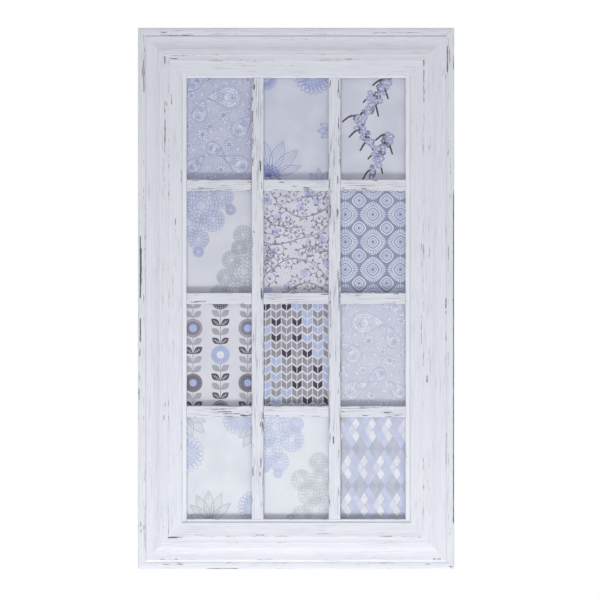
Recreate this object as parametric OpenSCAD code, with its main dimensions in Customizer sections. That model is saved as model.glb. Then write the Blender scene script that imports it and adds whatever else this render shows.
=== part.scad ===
// Collage picture frame for a wall: a mitred moulding round a window lattice of twelve cells,
// with glass, twelve prints, a mounting card and a back board held by turn buttons.
// X is across the frame, Z is up, and the front looks along -Y. The origin lies midway between
// the centres of the two keyhole entries, in the plane of the moulding's back.

/* [Prints and windows] */
// Width of one print
print_w = 101.6; // [90:0.1:120]
// Height of one print
print_h = 152.4; // [130:0.1:170]
// Thickness of one print
print_t = 0.3; // [0.2:0.05:0.5]
// How far the lattice covers a print at each side
cover_x = 4.55; // [3:0.05:5]
// How far the lattice covers a print at its top and bottom
cover_z = 3.7; // [3:0.05:5]

/* [Lattice] */
// Width of an upright bar between two windows
mullion_w = 17; // [14:0.5:24]
// Height of a cross bar between two windows
transom_w = 16; // [13:0.5:24]
// Front to back thickness of the lattice bars
lattice_t = 8; // [7:0.5:10]
// Visible width of the lattice's outer uprights, beside the moulding
ledge_side = 6.5; // [5:0.25:10]
// Visible height of the lattice's top and bottom rails, beside the moulding
ledge_end = 4.25; // [3:0.25:10]
// Radius of the eased front edges of the bars
bar_ease = 0.8; // [0.3:0.1:1.5]
// Length of the tenons on the cross bars and rails
tenon_len = 4; // [2.5:0.25:5]
// Thickness of the tenons, front to back
tenon_t = 3; // [2:0.25:4]
// Shoulder beside a tenon, measured across the bar
tenon_shoulder = 3; // [1.5:0.25:4]
// Space left past the end of a tenon for glue
glue_gap = 0.3; // [0.1:0.05:0.5]

/* [Moulding] */
// Width of the moulding's side lengths, outer edge to sight edge
side_w = 62.75; // [61:0.25:75]
// Width of the moulding's top and bottom lengths
end_w = 66.75; // [65:0.25:80]
// Thickness of the moulding at its highest arris
moulding_t = 18.0; // [17.4:0.1:26]
// Radius of the outer arris
outer_r = 1.2; // [0.5:0.1:2.5]
// Width of the outer lip
lip_w = 8.6; // [7:0.1:9]
// Drop of the lip below the highest arris
lip_drop = 4.8; // [4:0.1:5.2]
// Crown of the lip above its edges
lip_crown = 0.3; // [0.1:0.05:0.5]
// Width of the crease beside the lip
crease_w = 1.3; // [0.8:0.1:1.6]
// Depth of the crease below the lip's edge
crease_d = 0.6; // [0.2:0.05:0.8]
// Width of the shoulder that rises from the crease
shoulder_w = 3.3; // [2.8:0.1:4]
// Drop of the shoulder below the highest arris
shoulder_drop = 3.4; // [2.8:0.1:3.6]
// Width of the hollow between the shoulder and the bead
hollow_w = 16.6; // [15:0.1:18]
// Drop of the hollow's inner edge below the highest arris
hollow_drop = 1.1; // [0.9:0.05:1.6]
// How far the hollow bows inward from a straight line
hollow_bow = 1.33; // [0.5:0.01:1.6]
// Width of the flat bead
bead_w = 4.8; // [4:0.1:5.5]
// Depth of the nick between the hollow and the bead
nick_d = 0.4; // [0.1:0.05:0.6]
// Drop of the bead's inner edge below the highest arris
bead_drop = 0.8; // [0.6:0.05:1]
// Width of the ridge beside the bead
ridge_w = 3.6; // [3:0.1:4]
// Drop of the ridge below the highest arris
ridge_drop = 0.35; // [0.2:0.05:0.5]
// Width of the scoop between the ridge and the highest arris
scoop_w = 6; // [5:0.1:7]
// Drop of the scoop's outer edge below the highest arris
scoop_drop = 0.65; // [0.5:0.05:0.8]
// Width of the chamfer inside the highest arris
chamfer_w = 3.4; // [2.5:0.1:4]
// Drop of the chamfer's inner edge below the highest arris
chamfer_drop = 0.65; // [0.4:0.05:0.8]
// Drop of the sight edge below the highest arris
sight_drop = 1.6; // [0.9:0.1:1.8]
// Radius of the sight edge
sight_r = 0.8; // [0.3:0.1:1]
// Width of the rebate behind the sight edge
rebate_w = 8; // [6:0.5:10]

/* [Glass and backing] */
// Thickness of the glass
glass_t = 2; // [1.5:0.1:3]
// Thickness of the card that the prints are mounted on
card_t = 1; // [0.5:0.1:2]
// Thickness of the back board
board_t = 3; // [2:0.1:4]
// Distance of the back board's face below the moulding's back
board_set = 0.1; // [0.05:0.05:0.5]
// Gap between the moulding's rebate and the lattice
lattice_gap = 0.5; // [0.2:0.1:1]
// Gap between the moulding's rebate and the sheets of glass, card and board
sheet_gap = 1; // [0.5:0.1:1.5]

/* [Turn buttons] */
// Reach of a turn button, pivot to tip
button_reach = 20.5; // [16:0.5:26]
// Radius of a turn button round its pivot
button_heel_r = 4.8; // [4:0.1:6]
// Radius of a turn button's tip
button_tip_r = 3.4; // [2.5:0.1:4]
// Thickness of a turn button
button_t = 1; // [0.8:0.1:1.5]
// Distance from a pivot to the rebate's edge
pivot_set = 9; // [7:0.5:11]
// Gap between a turn button and the moulding's back
button_gap = 0.2; // [0.1:0.05:0.4]
// Gap between a turn button and its screw's head
head_gap = 0.1; // [0.05:0.05:0.3]
// Radial clearance of a turn button on its screw
pivot_clearance = 0.06; // [0.03:0.01:0.1]
// Distance of the outer side pivots from the top and bottom edges
side_pivot_inset = 175; // [120:1:200]
// Distance of the top and bottom pivots from the side edges
end_pivot_inset = 150; // [140:1:165]

/* [Screws and corner nails] */
// Radius of a turn button screw's shank
pivot_shank_r = 1.5; // [1.2:0.05:1.8]
// Radius of a turn button screw's head
pivot_head_r = 3.2; // [2.8:0.1:4]
// Height of a turn button screw's head
pivot_head_h = 1.7; // [1.4:0.1:2]
// Depth that a turn button screw goes into the moulding
pivot_depth = 11; // [8:0.5:14]
// Radius of a hanger screw's shank
hanger_shank_r = 1.4; // [1.2:0.05:1.6]
// Radius of a hanger screw's head
hanger_head_r = 2.8; // [2.4:0.1:3.2]
// Height of a hanger screw's head
hanger_head_h = 1.4; // [1.2:0.1:1.8]
// Depth that a hanger screw goes into the moulding
hanger_depth = 9.5; // [7:0.5:11]
// How much a screw's thread bites into its pilot hole, at the radius
thread_bite = 0.15; // [0.05:0.05:0.3]
// Length of a corner nail's leg
nail_leg = 8; // [6:0.5:10]
// Thickness of a corner nail
nail_t = 0.6; // [0.4:0.1:1]
// Depth that a corner nail is driven
nail_depth = 8; // [6:0.5:10]
// Distance of the outer corner nails from the side edges
nail_outer = 14; // [11:0.5:16]
// Distance of the inner corner nails from the side edges
nail_inner = 42; // [41:0.5:46]

/* [Hanging and wall pads] */
// Distance of the hanger plates from the side edges
hanger_inset = 95; // [85:1:100]
// Distance of the keyhole entries from the top edge
hang_drop = 39; // [37:0.5:40]
// Width of a hanger plate
plate_w = 17; // [15:0.5:18]
// Length of a hanger plate
plate_len = 42; // [40:0.5:44]
// Thickness of a hanger plate
plate_t = 1.2; // [1:0.1:1.5]
// Distance of a keyhole's entry from the plate's lower end
entry_up = 14; // [13.5:0.25:15]
// Radius of a keyhole's entry
entry_r = 4.75; // [4.5:0.05:5]
// Width of a keyhole's slot
slot_w = 4.4; // [4:0.1:5]
// Rise of a keyhole's slot above its entry
slot_rise = 12; // [10:0.5:13]
// Distance of the plate's screws from its ends
plate_screw_set = 4.6; // [4:0.1:4.8]
// Radial clearance of a hanger screw in its plate
plate_clearance = 0.3; // [0.1:0.05:0.5]
// Depth of the pocket behind a keyhole, for the wall screw's head
pocket_d = 7; // [5:0.5:9]
// Room round the keyhole's entry in that pocket
pocket_room = 0.75; // [0.5:0.25:1]
// Radius of a wall pad
pad_r = 6; // [4:0.5:6.5]
// Thickness of a wall pad
pad_t = 4; // [3.6:0.1:6]
// Distance of a wall pad's centre from both edges
pad_inset = 28; // [27:0.5:30]

/* [Hidden] */
$fn = 64;
columns = 3;
rows = 4;
arc_steps = 8;
slop = 1;

// Windows and overall size
cell_w = print_w - 2 * cover_x;
cell_h = print_h - 2 * cover_z;
pitch_x = cell_w + mullion_w;
pitch_z = cell_h + transom_w;
windows_w = columns * cell_w + (columns - 1) * mullion_w;
windows_h = rows * cell_h + (rows - 1) * transom_w;
frame_w = windows_w + 2 * (ledge_side + side_w);
frame_h = windows_h + 2 * (ledge_end + end_w);
top_z = hang_drop;
mid_z = top_z - frame_h / 2;
bottom_z = top_z - frame_h;

// Depths behind the front, as heights above the moulding's back
board_y = board_set;
card_y = board_y + board_t;
print_y = card_y + card_t;
glass_y = print_y + print_t;
lattice_y = glass_y + glass_t;
rebate_d = lattice_y + lattice_t;

// Rebate and what lies in it
rebate_open_w = frame_w - 2 * (side_w - rebate_w);
rebate_open_h = frame_h - 2 * (end_w - rebate_w);
lattice_w = rebate_open_w - 2 * lattice_gap;
lattice_h = rebate_open_h - 2 * lattice_gap;
sheet_w = rebate_open_w - 2 * sheet_gap;
sheet_h = rebate_open_h - 2 * sheet_gap;
stile_w = (lattice_w - windows_w) / 2;
rail_w = (lattice_h - windows_h) / 2;

// Moulding section, as distances from its outer edge and heights above its back
lip_h = moulding_t - lip_drop;
crease_u = lip_w + crease_w;
shoulder_u = crease_u + shoulder_w;
shoulder_h = moulding_t - shoulder_drop;
bead_u = shoulder_u + hollow_w;
bead_h = moulding_t - hollow_drop;
ridge_u = bead_u + bead_w;
ridge_h = moulding_t - ridge_drop;
scoop_u = ridge_u + ridge_w;
arris_u = scoop_u + scoop_w;
band_u = arris_u + chamfer_w;
band_h = moulding_t - chamfer_drop;
sight_h = moulding_t - sight_drop;
nick_w = 0.5;
flank_w = 0.7;
shoulder_flank = 0.6 * shoulder_w;
shoulder_edge_h = shoulder_h - 0.3;
roll = 0.1;
soft_bow = 0.15;

// Lattice joints
tenon_y = lattice_y + (lattice_t - tenon_t) / 2;
transom_tenon_w = transom_w - 2 * tenon_shoulder;
mullion_tenon_w = mullion_w - 2 * tenon_shoulder;
rail_tenon_w = rail_w - 2 * tenon_shoulder;

// Turn buttons: name, X and Z of the pivot, and the direction that the tip points to
side_x = rebate_open_w / 2 + pivot_set;
end_x = frame_w / 2 - end_pivot_inset;
side_reach_z = frame_h / 2 - side_pivot_inset;
end_top_z = mid_z + rebate_open_h / 2 + pivot_set;
end_bottom_z = mid_z - rebate_open_h / 2 - pivot_set;
to_right = 0;
to_left = 180;
to_up = -90;
to_down = 90;
BUTTONS = [
    ["left_upper", -side_x, mid_z + side_reach_z, to_right],
    ["left_middle", -side_x, mid_z, to_right],
    ["left_lower", -side_x, mid_z - side_reach_z, to_right],
    ["right_upper", side_x, mid_z + side_reach_z, to_left],
    ["right_middle", side_x, mid_z, to_left],
    ["right_lower", side_x, mid_z - side_reach_z, to_left],
    ["top_left", -end_x, end_top_z, to_down],
    ["top_right", end_x, end_top_z, to_down],
    ["bottom_left", -end_x, end_bottom_z, to_up],
    ["bottom_right", end_x, end_bottom_z, to_up],
];
button_centre = button_reach - button_tip_r;
button_taper = asin((button_heel_r - button_tip_r) / button_centre);
pivot_head_y = button_gap + button_t + head_gap;

// Hanger plates
hanger_x = frame_w / 2 - hanger_inset;
plate_low_screw = plate_screw_set - entry_up;
plate_high_screw = plate_len - entry_up - plate_screw_set;
pocket_r = entry_r + pocket_room;

function column_x(column) = (column - (columns + 1) / 2) * pitch_x;
function row_z(row) = mid_z + ((rows + 1) / 2 - row) * pitch_z;

// Points along an arc, both ends included
function arc(centre, r, start, end) =
    [for (i = [0:arc_steps]) let (a = start + (end - start) * i / arc_steps)
        centre + r * [cos(a), sin(a)]];

// Points along an arc from p to q that stands off their chord by rise, to the left of its way
function bow(p, q, rise) =
    let (
        chord = q - p,
        half = norm(chord) / 2,
        r = (half * half + rise * rise) / (2 * abs(rise)),
        middle = (p + q) / 2,
        side = sign(rise) * [-chord.y, chord.x] / (2 * half),
        centre = middle - side * (r - abs(rise)),
        turn = -sign(rise) * 2 * asin(half / r),
        from = p - centre
    )
    [for (i = [0:arc_steps]) let (a = turn * i / arc_steps)
        centre + [from.x * cos(a) - from.y * sin(a), from.x * sin(a) + from.y * cos(a)]];

print_names = [for (row = [1:rows], column = [1:columns]) str("print_r", row, "_c", column)];
transom_names = [
    for (row = [1:rows - 1], column = [1:columns]) str("transom_r", row, "_c", column)
];
button_names = [for (button = BUTTONS) str("turn_button_", button[0])];

// ---- Shared shapes ----

// A flat sheet from an outline in X and Z, between two heights behind the front
module sheet(low, high) {
    translate([0, -low, 0])
        rotate([90, 0, 0])
            linear_extrude(high - low)
                children();
}

// A flat plate from an outline in X and Z, standing out behind the moulding's back
module plate(low, high) {
    sheet(-high, -low) children();
}

// What a rounded edge leaves of a square corner, with the corner at the origin
module arris(r) {
    difference() {
        translate([-r, -r])
            square(r + slop);
        translate([-r, -r])
            circle(r);
    }
}

// An extrusion along X of a section in distance from the top and height above the back
module along_x(length) {
    rotate([0, 90, 0])
        linear_extrude(length, center = true)
            mirror([0, 1])
                children();
}

// A lattice bar's section, with its front edges eased
module bar_section(width, ease_low = true, ease_high = true) {
    front = lattice_y + lattice_t;
    difference() {
        translate([-width / 2, lattice_y])
            square([width, lattice_t]);
        if (ease_high)
            translate([width / 2, front])
                arris(bar_ease);
        if (ease_low)
            translate([-width / 2, front])
                mirror([1, 0])
                    arris(bar_ease);
    }
}

module bar_upright(width, length, ease_low = true, ease_high = true) {
    linear_extrude(length, center = true)
        mirror([0, 1])
            bar_section(width, ease_low, ease_high);
}

module bar_cross(width, length, ease_top = true, ease_bottom = true) {
    along_x(length)
        bar_section(width, ease_top, ease_bottom);
}

// Tenons at both ends of a bar that lies across, and the mortise for one of them
module cross_tenons(width, length) {
    sheet(tenon_y, tenon_y + tenon_t)
        square([length + 2 * tenon_len, width], center = true);
}

module upright_tenons(width, length) {
    sheet(tenon_y, tenon_y + tenon_t)
        square([width, length + 2 * tenon_len], center = true);
}

module mortise_at(x, z, width, height) {
    translate([x, 0, z])
        sheet(tenon_y, tenon_y + tenon_t)
            square([width, height], center = true);
}

// The mortises for the cross bars in an upright's side, whose face is at X
module transom_mortises(face_x) {
    for (row = [1:rows - 1])
        mortise_at(face_x, row_z(row) - pitch_z / 2, 2 * (tenon_len + glue_gap), transom_tenon_w);
}

// The mortises for the two mullions in a rail, whose face is at Z
module mullion_mortises(face_z) {
    for (side = [-1, 1])
        mortise_at(side * pitch_x / 2, face_z, mullion_tenon_w, 2 * (tenon_len + glue_gap));
}

// A pan head screw along +Z, with the underside of its head at the origin
module pan_screw(shank_r, head_r, head_h, length) {
    rim = 0.55 * head_h;
    recess_d = 0.6 * head_h;
    recess_len = 1.1 * head_r;
    recess_w = 0.28 * head_r;
    difference() {
        union() {
            cylinder(rim, r = head_r);
            translate([0, 0, rim])
                cylinder(head_h - rim, r1 = head_r, r2 = 0.62 * head_r);
        }
        for (turn = [0, 90])
            rotate(turn)
                translate([-recess_len / 2, -recess_w / 2, head_h - recess_d])
                    cube([recess_len, recess_w, recess_d + slop]);
    }
    screw_shank(shank_r, length);
}

module screw_shank(r, length) {
    tip = 2 * r;
    translate([0, 0, tip - length])
        cylinder(length - tip, r = r);
    translate([0, 0, -length])
        cylinder(tip, r1 = 0.15 * r, r2 = r);
}

module at_back(x, y, z) {
    translate([x, y, z])
        rotate([-90, 0, 0])
            children();
}

// ---- Moulding ----

// The moulding's front, from its outer edge to the sight edge
front_line = concat(
    arc([outer_r, lip_h - outer_r], outer_r, 180, 90),
    bow([outer_r, lip_h], [lip_w, lip_h], lip_crown),
    [[crease_u - nick_w, lip_h - crease_d], [crease_u, lip_h - crease_d]],
    bow([crease_u + shoulder_flank, shoulder_edge_h], [shoulder_u, shoulder_h], roll),
    bow([shoulder_u, shoulder_h], [bead_u, bead_h], -hollow_bow),
    [[bead_u + nick_w, bead_h - nick_d]],
    bow([bead_u + 2 * nick_w, bead_h], [ridge_u, moulding_t - bead_drop], soft_bow),
    bow([ridge_u + flank_w, ridge_h - roll], [ridge_u + ridge_w / 2, ridge_h - roll], roll),
    bow([scoop_u, moulding_t - scoop_drop], [arris_u - nick_w, moulding_t - roll], -soft_bow),
    bow([arris_u - nick_w, moulding_t - roll], [arris_u + nick_w, moulding_t - roll], roll),
    bow([band_u, band_h], [side_w - sight_r, sight_h], -soft_bow),
    arc([side_w - sight_r, sight_h - sight_r], sight_r, 90, 0)
);

// The outline of a moulding of one width, clockwise from its outer back corner
module moulding_section(width) {
    spread = width / side_w;
    polygon(concat(
        [[0, 0]],
        [for (point = front_line) [point.x * spread, point.y]],
        [[width, rebate_d], [width - rebate_w, rebate_d], [width - rebate_w, 0]]
    ));
}

// One side of the frame, with its outer edge at Z = 0 and the sight edge below, and with its ends
// cut towards the sight edge's corners
module moulding_run(length, width, other_width) {
    lean = other_width / width;
    deep = width + slop;
    intersection() {
        along_x(length + 4 * slop)
            moulding_section(width);
        sheet(-slop, moulding_t + slop)
            polygon([
                [-length / 2 - slop * lean, slop],
                [length / 2 + slop * lean, slop],
                [length / 2 - deep * lean, -deep],
                [-length / 2 + deep * lean, -deep],
            ]);
    }
}

// Pilot holes for the turn button screws whose names start with one letter
module pivot_pilots(first_letter) {
    for (button = BUTTONS)
        if (button[0][0] == first_letter)
            at_back(button[1], 0, button[2])
                pilot(pivot_shank_r, pivot_depth);
}

module pilot(shank_r, depth) {
    r = shank_r - thread_bite;
    screw_shank(r, depth);
    cylinder(slop, r = r);
}

// The routed pocket behind a keyhole, and the pilot holes of its plate's screws
module hanger_cuts(x) {
    translate([x, 0, 0]) {
        sheet(-slop, pocket_d) {
            circle(pocket_r);
            translate([-pocket_r, 0])
                square([2 * pocket_r, slot_rise]);
            translate([0, slot_rise])
                circle(pocket_r);
        }
        for (z = [plate_low_screw, plate_high_screw])
            at_back(0, 0, z)
                pilot(hanger_shank_r, hanger_depth);
    }
}

module moulding_top() {
    color("#dfe1e8")
        difference() {
            translate([0, 0, top_z])
                moulding_run(frame_w, end_w, side_w);
            nail_shapes();
            pivot_pilots("t");
            for (side = [-1, 1])
                hanger_cuts(side * hanger_x);
        }
}

module moulding_bottom() {
    color("#e9ebf0")
        difference() {
            translate([0, 0, bottom_z])
                rotate([0, 180, 0])
                    moulding_run(frame_w, end_w, side_w);
            nail_shapes();
            pivot_pilots("b");
        }
}

module moulding_left() {
    color("#e3e5eb")
        difference() {
            translate([-frame_w / 2, 0, mid_z])
                rotate([0, -90, 0])
                    moulding_run(frame_h, side_w, end_w);
            nail_shapes();
            pivot_pilots("l");
        }
}

module moulding_right() {
    color("#e6e8ee")
        difference() {
            translate([frame_w / 2, 0, mid_z])
                rotate([0, 90, 0])
                    moulding_run(frame_h, side_w, end_w);
            nail_shapes();
            pivot_pilots("r");
        }
}

// Angle nails driven flush across each mitre from behind, two at a corner
module nail_shapes() {
    for (side = [-1, 1], end = [-1, 1], inset = [nail_outer, nail_inner])
        translate([
            side * (frame_w / 2 - inset),
            0,
            mid_z + end * (frame_h / 2 - inset * end_w / side_w)
        ])
            mirror([side < 0 ? 1 : 0, 0, 0])
                mirror([0, 0, end < 0 ? 1 : 0])
                    sheet(0, nail_depth) {
                        square([nail_leg, nail_t]);
                        square([nail_t, nail_leg]);
                    }
}

module corner_nails() {
    color("#8d9095")
        nail_shapes();
}

// ---- Lattice ----

module lattice_stile(side) {
    inner_x = side * windows_w / 2;
    centre_x = inner_x + side * stile_w / 2;
    rail_z = (windows_h + rail_w) / 2;
    color("#e4e6ee")
        difference() {
            translate([centre_x, 0, mid_z])
                bar_upright(stile_w, lattice_h, side > 0, side < 0);
            transom_mortises(inner_x);
            for (end = [-1, 1])
                mortise_at(inner_x, mid_z + end * rail_z, 2 * (tenon_len + glue_gap), rail_tenon_w);
        }
}

module lattice_rail(end) {
    inner_z = mid_z + end * windows_h / 2;
    color("#e6e8ef")
        difference() {
            translate([0, 0, inner_z + end * rail_w / 2])
                union() {
                    bar_cross(rail_w, windows_w, end < 0, end > 0);
                    cross_tenons(rail_tenon_w, windows_w);
                }
            mullion_mortises(inner_z);
        }
}

module mullion(side) {
    centre_x = side * pitch_x / 2;
    color("#dddfe8")
        difference() {
            translate([centre_x, 0, mid_z]) {
                bar_upright(mullion_w, windows_h);
                upright_tenons(mullion_tenon_w, windows_h);
            }
            transom_mortises(centre_x - mullion_w / 2);
            transom_mortises(centre_x + mullion_w / 2);
        }
}

module transom(row, column) {
    color("#e2e4ec")
        translate([column_x(column), 0, row_z(row) - pitch_z / 2]) {
            bar_cross(transom_w, cell_w);
            cross_tenons(transom_tenon_w, cell_w);
        }
}

// ---- Glass, prints and backing ----

module rebate_sheet(low, high) {
    translate([0, 0, mid_z])
        sheet(low, high)
            square([sheet_w, sheet_h], center = true);
}

module glass() {
    color([0.86, 0.92, 0.94, 0.35])
        rebate_sheet(glass_y, glass_y + glass_t);
}

module print_sheet(row, column) {
    tints = ["#c9cbe4", "#cfd0de", "#dcdde4", "#b9c3e2", "#c6c7d3", "#d8dcec"];
    tint = tints[((row - 1) * columns + column - 1) % len(tints)];
    color(tint)
        translate([column_x(column), 0, row_z(row)])
            sheet(print_y, print_y + print_t)
                square([print_w, print_h], center = true);
}

module mounting_card() {
    color("#b8b2a6")
        rebate_sheet(card_y, card_y + card_t);
}

module back_board() {
    color("#8a6a4c")
        rebate_sheet(board_y, board_y + board_t);
}

// ---- Turn buttons ----

// A tapered tab, round at its pivot and at its tip
module button_outline() {
    difference() {
        polygon(concat(
            arc([0, 0], button_heel_r, 270 + button_taper, 90 - button_taper),
            arc([button_centre, 0], button_tip_r, 90 - button_taper, button_taper - 90)
        ));
        circle(pivot_shank_r + pivot_clearance);
    }
}

module turn_button(button) {
    color("#7f8388")
        translate([button[1], 0, button[2]])
            rotate([0, button[3], 0])
                plate(button_gap, button_gap + button_t)
                    button_outline();
}

module turn_button_screws() {
    color("#a5a8ad")
        for (button = BUTTONS)
            at_back(button[1], pivot_head_y, button[2])
                pan_screw(pivot_shank_r, pivot_head_r, pivot_head_h, pivot_depth + pivot_head_y);
}

// ---- Hanging ----

module hanger_plate(side) {
    end_r = plate_w / 2;
    low = end_r - entry_up;
    high = plate_len - entry_up - end_r;
    color("#b3b6ba")
        translate([side * hanger_x, 0, 0])
            plate(0, plate_t)
                difference() {
                    union() {
                        translate([0, low])
                            circle(end_r);
                        translate([0, high])
                            circle(end_r);
                        translate([-end_r, low])
                            square([plate_w, high - low]);
                    }
                    circle(entry_r);
                    translate([-slot_w / 2, 0])
                        square([slot_w, slot_rise]);
                    translate([0, slot_rise])
                        circle(slot_w / 2);
                    for (z = [plate_low_screw, plate_high_screw])
                        translate([0, z])
                            circle(hanger_shank_r + plate_clearance);
                }
}

module hanger_screws() {
    color("#a5a8ad")
        for (side = [-1, 1], z = [plate_low_screw, plate_high_screw])
            at_back(side * hanger_x, plate_t, z)
                pan_screw(hanger_shank_r, hanger_head_r, hanger_head_h, hanger_depth + plate_t);
}

module wall_pads() {
    color("#3a3b3d")
        for (side = [-1, 1])
            at_back(side * (frame_w / 2 - pad_inset), 0, bottom_z + pad_inset)
                cylinder(pad_t, r = pad_r);
}

// ---- Nodes ----

moulding_top();
moulding_bottom();
moulding_left();
moulding_right();
corner_nails();
lattice_stile(-1);  // lattice_stile_left
lattice_stile(1);  // lattice_stile_right
lattice_rail(1);  // lattice_rail_top
lattice_rail(-1);  // lattice_rail_bottom
mullion(-1);  // mullion_left
mullion(1);  // mullion_right
for (row = [1:rows - 1], column = [1:columns])
    transom(row, column);
glass();
for (row = [1:rows], column = [1:columns])
    print_sheet(row, column);
mounting_card();
back_board();
for (button = BUTTONS)
    turn_button(button);
turn_button_screws();
hanger_plate(-1);  // hanger_plate_left
hanger_plate(1);  // hanger_plate_right
hanger_screws();
wall_pads();
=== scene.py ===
# %% [markdown]
# # A collage picture frame with twelve prints
#
# The real thing is a painted wooden wall frame: a wide moulding, mitred at its corners, round a
# window lattice of three by four cells, with glass and twelve small prints behind it. The packed
# CAD model fixes every size and place. This script only gives it its looks, so it starts by
# loading that model, and it measures from it wherever it can.

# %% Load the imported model
import math

import bmesh
import bpy
import numpy as np
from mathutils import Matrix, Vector


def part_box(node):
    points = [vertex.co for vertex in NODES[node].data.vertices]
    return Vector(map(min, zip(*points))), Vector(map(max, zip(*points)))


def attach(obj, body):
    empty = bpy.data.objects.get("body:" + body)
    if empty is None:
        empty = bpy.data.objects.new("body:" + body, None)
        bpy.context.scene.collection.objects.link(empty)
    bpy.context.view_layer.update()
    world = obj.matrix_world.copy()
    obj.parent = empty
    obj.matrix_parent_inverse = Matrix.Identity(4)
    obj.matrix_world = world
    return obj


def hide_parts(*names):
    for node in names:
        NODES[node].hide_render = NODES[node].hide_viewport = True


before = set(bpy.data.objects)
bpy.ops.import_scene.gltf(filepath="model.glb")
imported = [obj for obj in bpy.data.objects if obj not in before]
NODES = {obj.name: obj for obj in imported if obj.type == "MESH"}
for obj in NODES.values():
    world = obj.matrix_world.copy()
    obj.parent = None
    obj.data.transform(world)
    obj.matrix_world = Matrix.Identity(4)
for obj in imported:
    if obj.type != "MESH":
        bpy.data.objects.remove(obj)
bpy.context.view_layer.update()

MM = 0.001

# %% [markdown]
# ## Measures
#
# Most shapes below are drawn in millimetres, as a joiner would, and turned into metres when their
# mesh is made. The outer edges come from the moulding's own boxes. The windows come from the
# lattice bars, so a lattice with other bars would still get its pieces in the right place.

# %% Measures of the frame, in millimetres
def box_mm(node):
    """The lowest and highest corner of one CAD piece, in millimetres."""
    low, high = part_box(node)
    return [v / MM for v in low], [v / MM for v in high]


def middle_mm(node):
    """The middle of one CAD piece, in millimetres."""
    low, high = box_mm(node)
    return [(a + b) / 2 for a, b in zip(low, high)]


ROWS = (1, 2, 3, 4)
COLUMNS = (1, 2, 3)
LEFT = box_mm("moulding_left")[0][0]
RIGHT = box_mm("moulding_right")[1][0]
TOP = box_mm("moulding_top")[1][2]
BOTTOM = box_mm("moulding_bottom")[0][2]
MIDDLE = (TOP + BOTTOM) / 2
HALF_WIDTH = (RIGHT - LEFT) / 2
HALF_HEIGHT = (TOP - BOTTOM) / 2
SIDE_W = 62.75
END_W = 66.75
THICK = -box_mm("moulding_left")[0][1]
print(f"frame {RIGHT - LEFT:.1f} x {TOP - BOTTOM:.1f} mm, middle at z {MIDDLE:.1f} mm")

# %% [markdown]
# ## Camera
#
# The photograph is square, and it looks straight at the frame with hardly any perspective, as from
# a few metres away through a long lens. One pixel of it covers 1.42 mm of the lattice. The camera
# stands far back, and its lens follows from that scale. The frame's middle isn't quite at the
# picture's middle, so the camera stands a little to the side and below.

# %% Camera
PICTURE_SIDE = 600
MM_PER_PIXEL = 1.4218
FRAME_PIXEL = (296.1, 298.4)
CAMERA_DISTANCE = 3.0
LATTICE_FRONT = box_mm("mullion_left")[0][1]
scene = bpy.context.scene


def new_object(name, data):
    """Puts a camera, a light or a mesh into the scene."""
    made = bpy.data.objects.new(name, data)
    scene.collection.objects.link(made)
    return made


camera = new_object("camera", bpy.data.cameras.new("camera"))
bpy.context.scene.camera = camera
camera.location = (
    (PICTURE_SIDE / 2 - FRAME_PIXEL[0]) * MM_PER_PIXEL * MM,
    LATTICE_FRONT * MM - CAMERA_DISTANCE,
    (MIDDLE - (PICTURE_SIDE / 2 - FRAME_PIXEL[1]) * MM_PER_PIXEL) * MM,
)
camera.rotation_euler = (math.radians(90), 0, 0)
camera.data.lens = camera.data.sensor_width * CAMERA_DISTANCE / (PICTURE_SIDE * MM_PER_PIXEL * MM)
print(f"camera at {tuple(round(v, 3) for v in camera.location)}, lens {camera.data.lens:.1f} mm")

# %% [markdown]
# ## A helper for materials
#
# A material is a small network of nodes. Written out one by one, nodes hide the idea, so a socket
# is wrapped in a class that knows sums: `1 - mask * 0.5` adds its Math nodes by itself.

# %% Sockets that know sums
class Value:
    """A socket of a finish's network that can take part in sums."""

    def __init__(self, finish, socket):
        self.finish = finish
        self.socket = socket

    def maths(self, operation, *terms):
        """One Math node for a sum of sockets and numbers."""
        inputs = dict(enumerate(terms))
        return self.finish.node("Math", {"operation": operation}, inputs)

    def __add__(self, other):
        return self.maths("ADD", self, other)

    def __radd__(self, other):
        return self.maths("ADD", other, self)

    def __sub__(self, other):
        return self.maths("SUBTRACT", self, other)

    def __rsub__(self, other):
        return self.maths("SUBTRACT", other, self)

    def __mul__(self, other):
        return self.maths("MULTIPLY", self, other)

    def __rmul__(self, other):
        return self.maths("MULTIPLY", other, self)

    def at_least(self, other):
        """The larger of the two."""
        return self.maths("MAXIMUM", self, other)

    def step(self, low, high):
        """0 below low, 1 above high, and a smooth rise between them."""
        inputs = {"Value": self, "From Min": low, "From Max": high}
        return self.finish.node("MapRange", {"interpolation_type": "SMOOTHSTEP"}, inputs)


print("sockets can be added, subtracted and multiplied")

# %% [markdown]
# Every other node comes from one method of the finish, which sets the node's settings first and its
# inputs after them. Numbers that are the same all over a surface go straight to the shader's own
# sockets, and only what changes over it comes from the network. Colours are written as a picture
# shows them, and Blender wants them as shares of light, so `shade` turns one into the other.

# %% A finish and its network
def shade(red, green, blue):
    """A colour given as a picture shows it, from 0 to 255, as the light that it returns."""
    parts = (v / 255 for v in (red, green, blue))
    return (*(v / 12.92 if v <= 0.04045 else ((v + 0.055) / 1.055) ** 2.4 for v in parts), 1.0)


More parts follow.
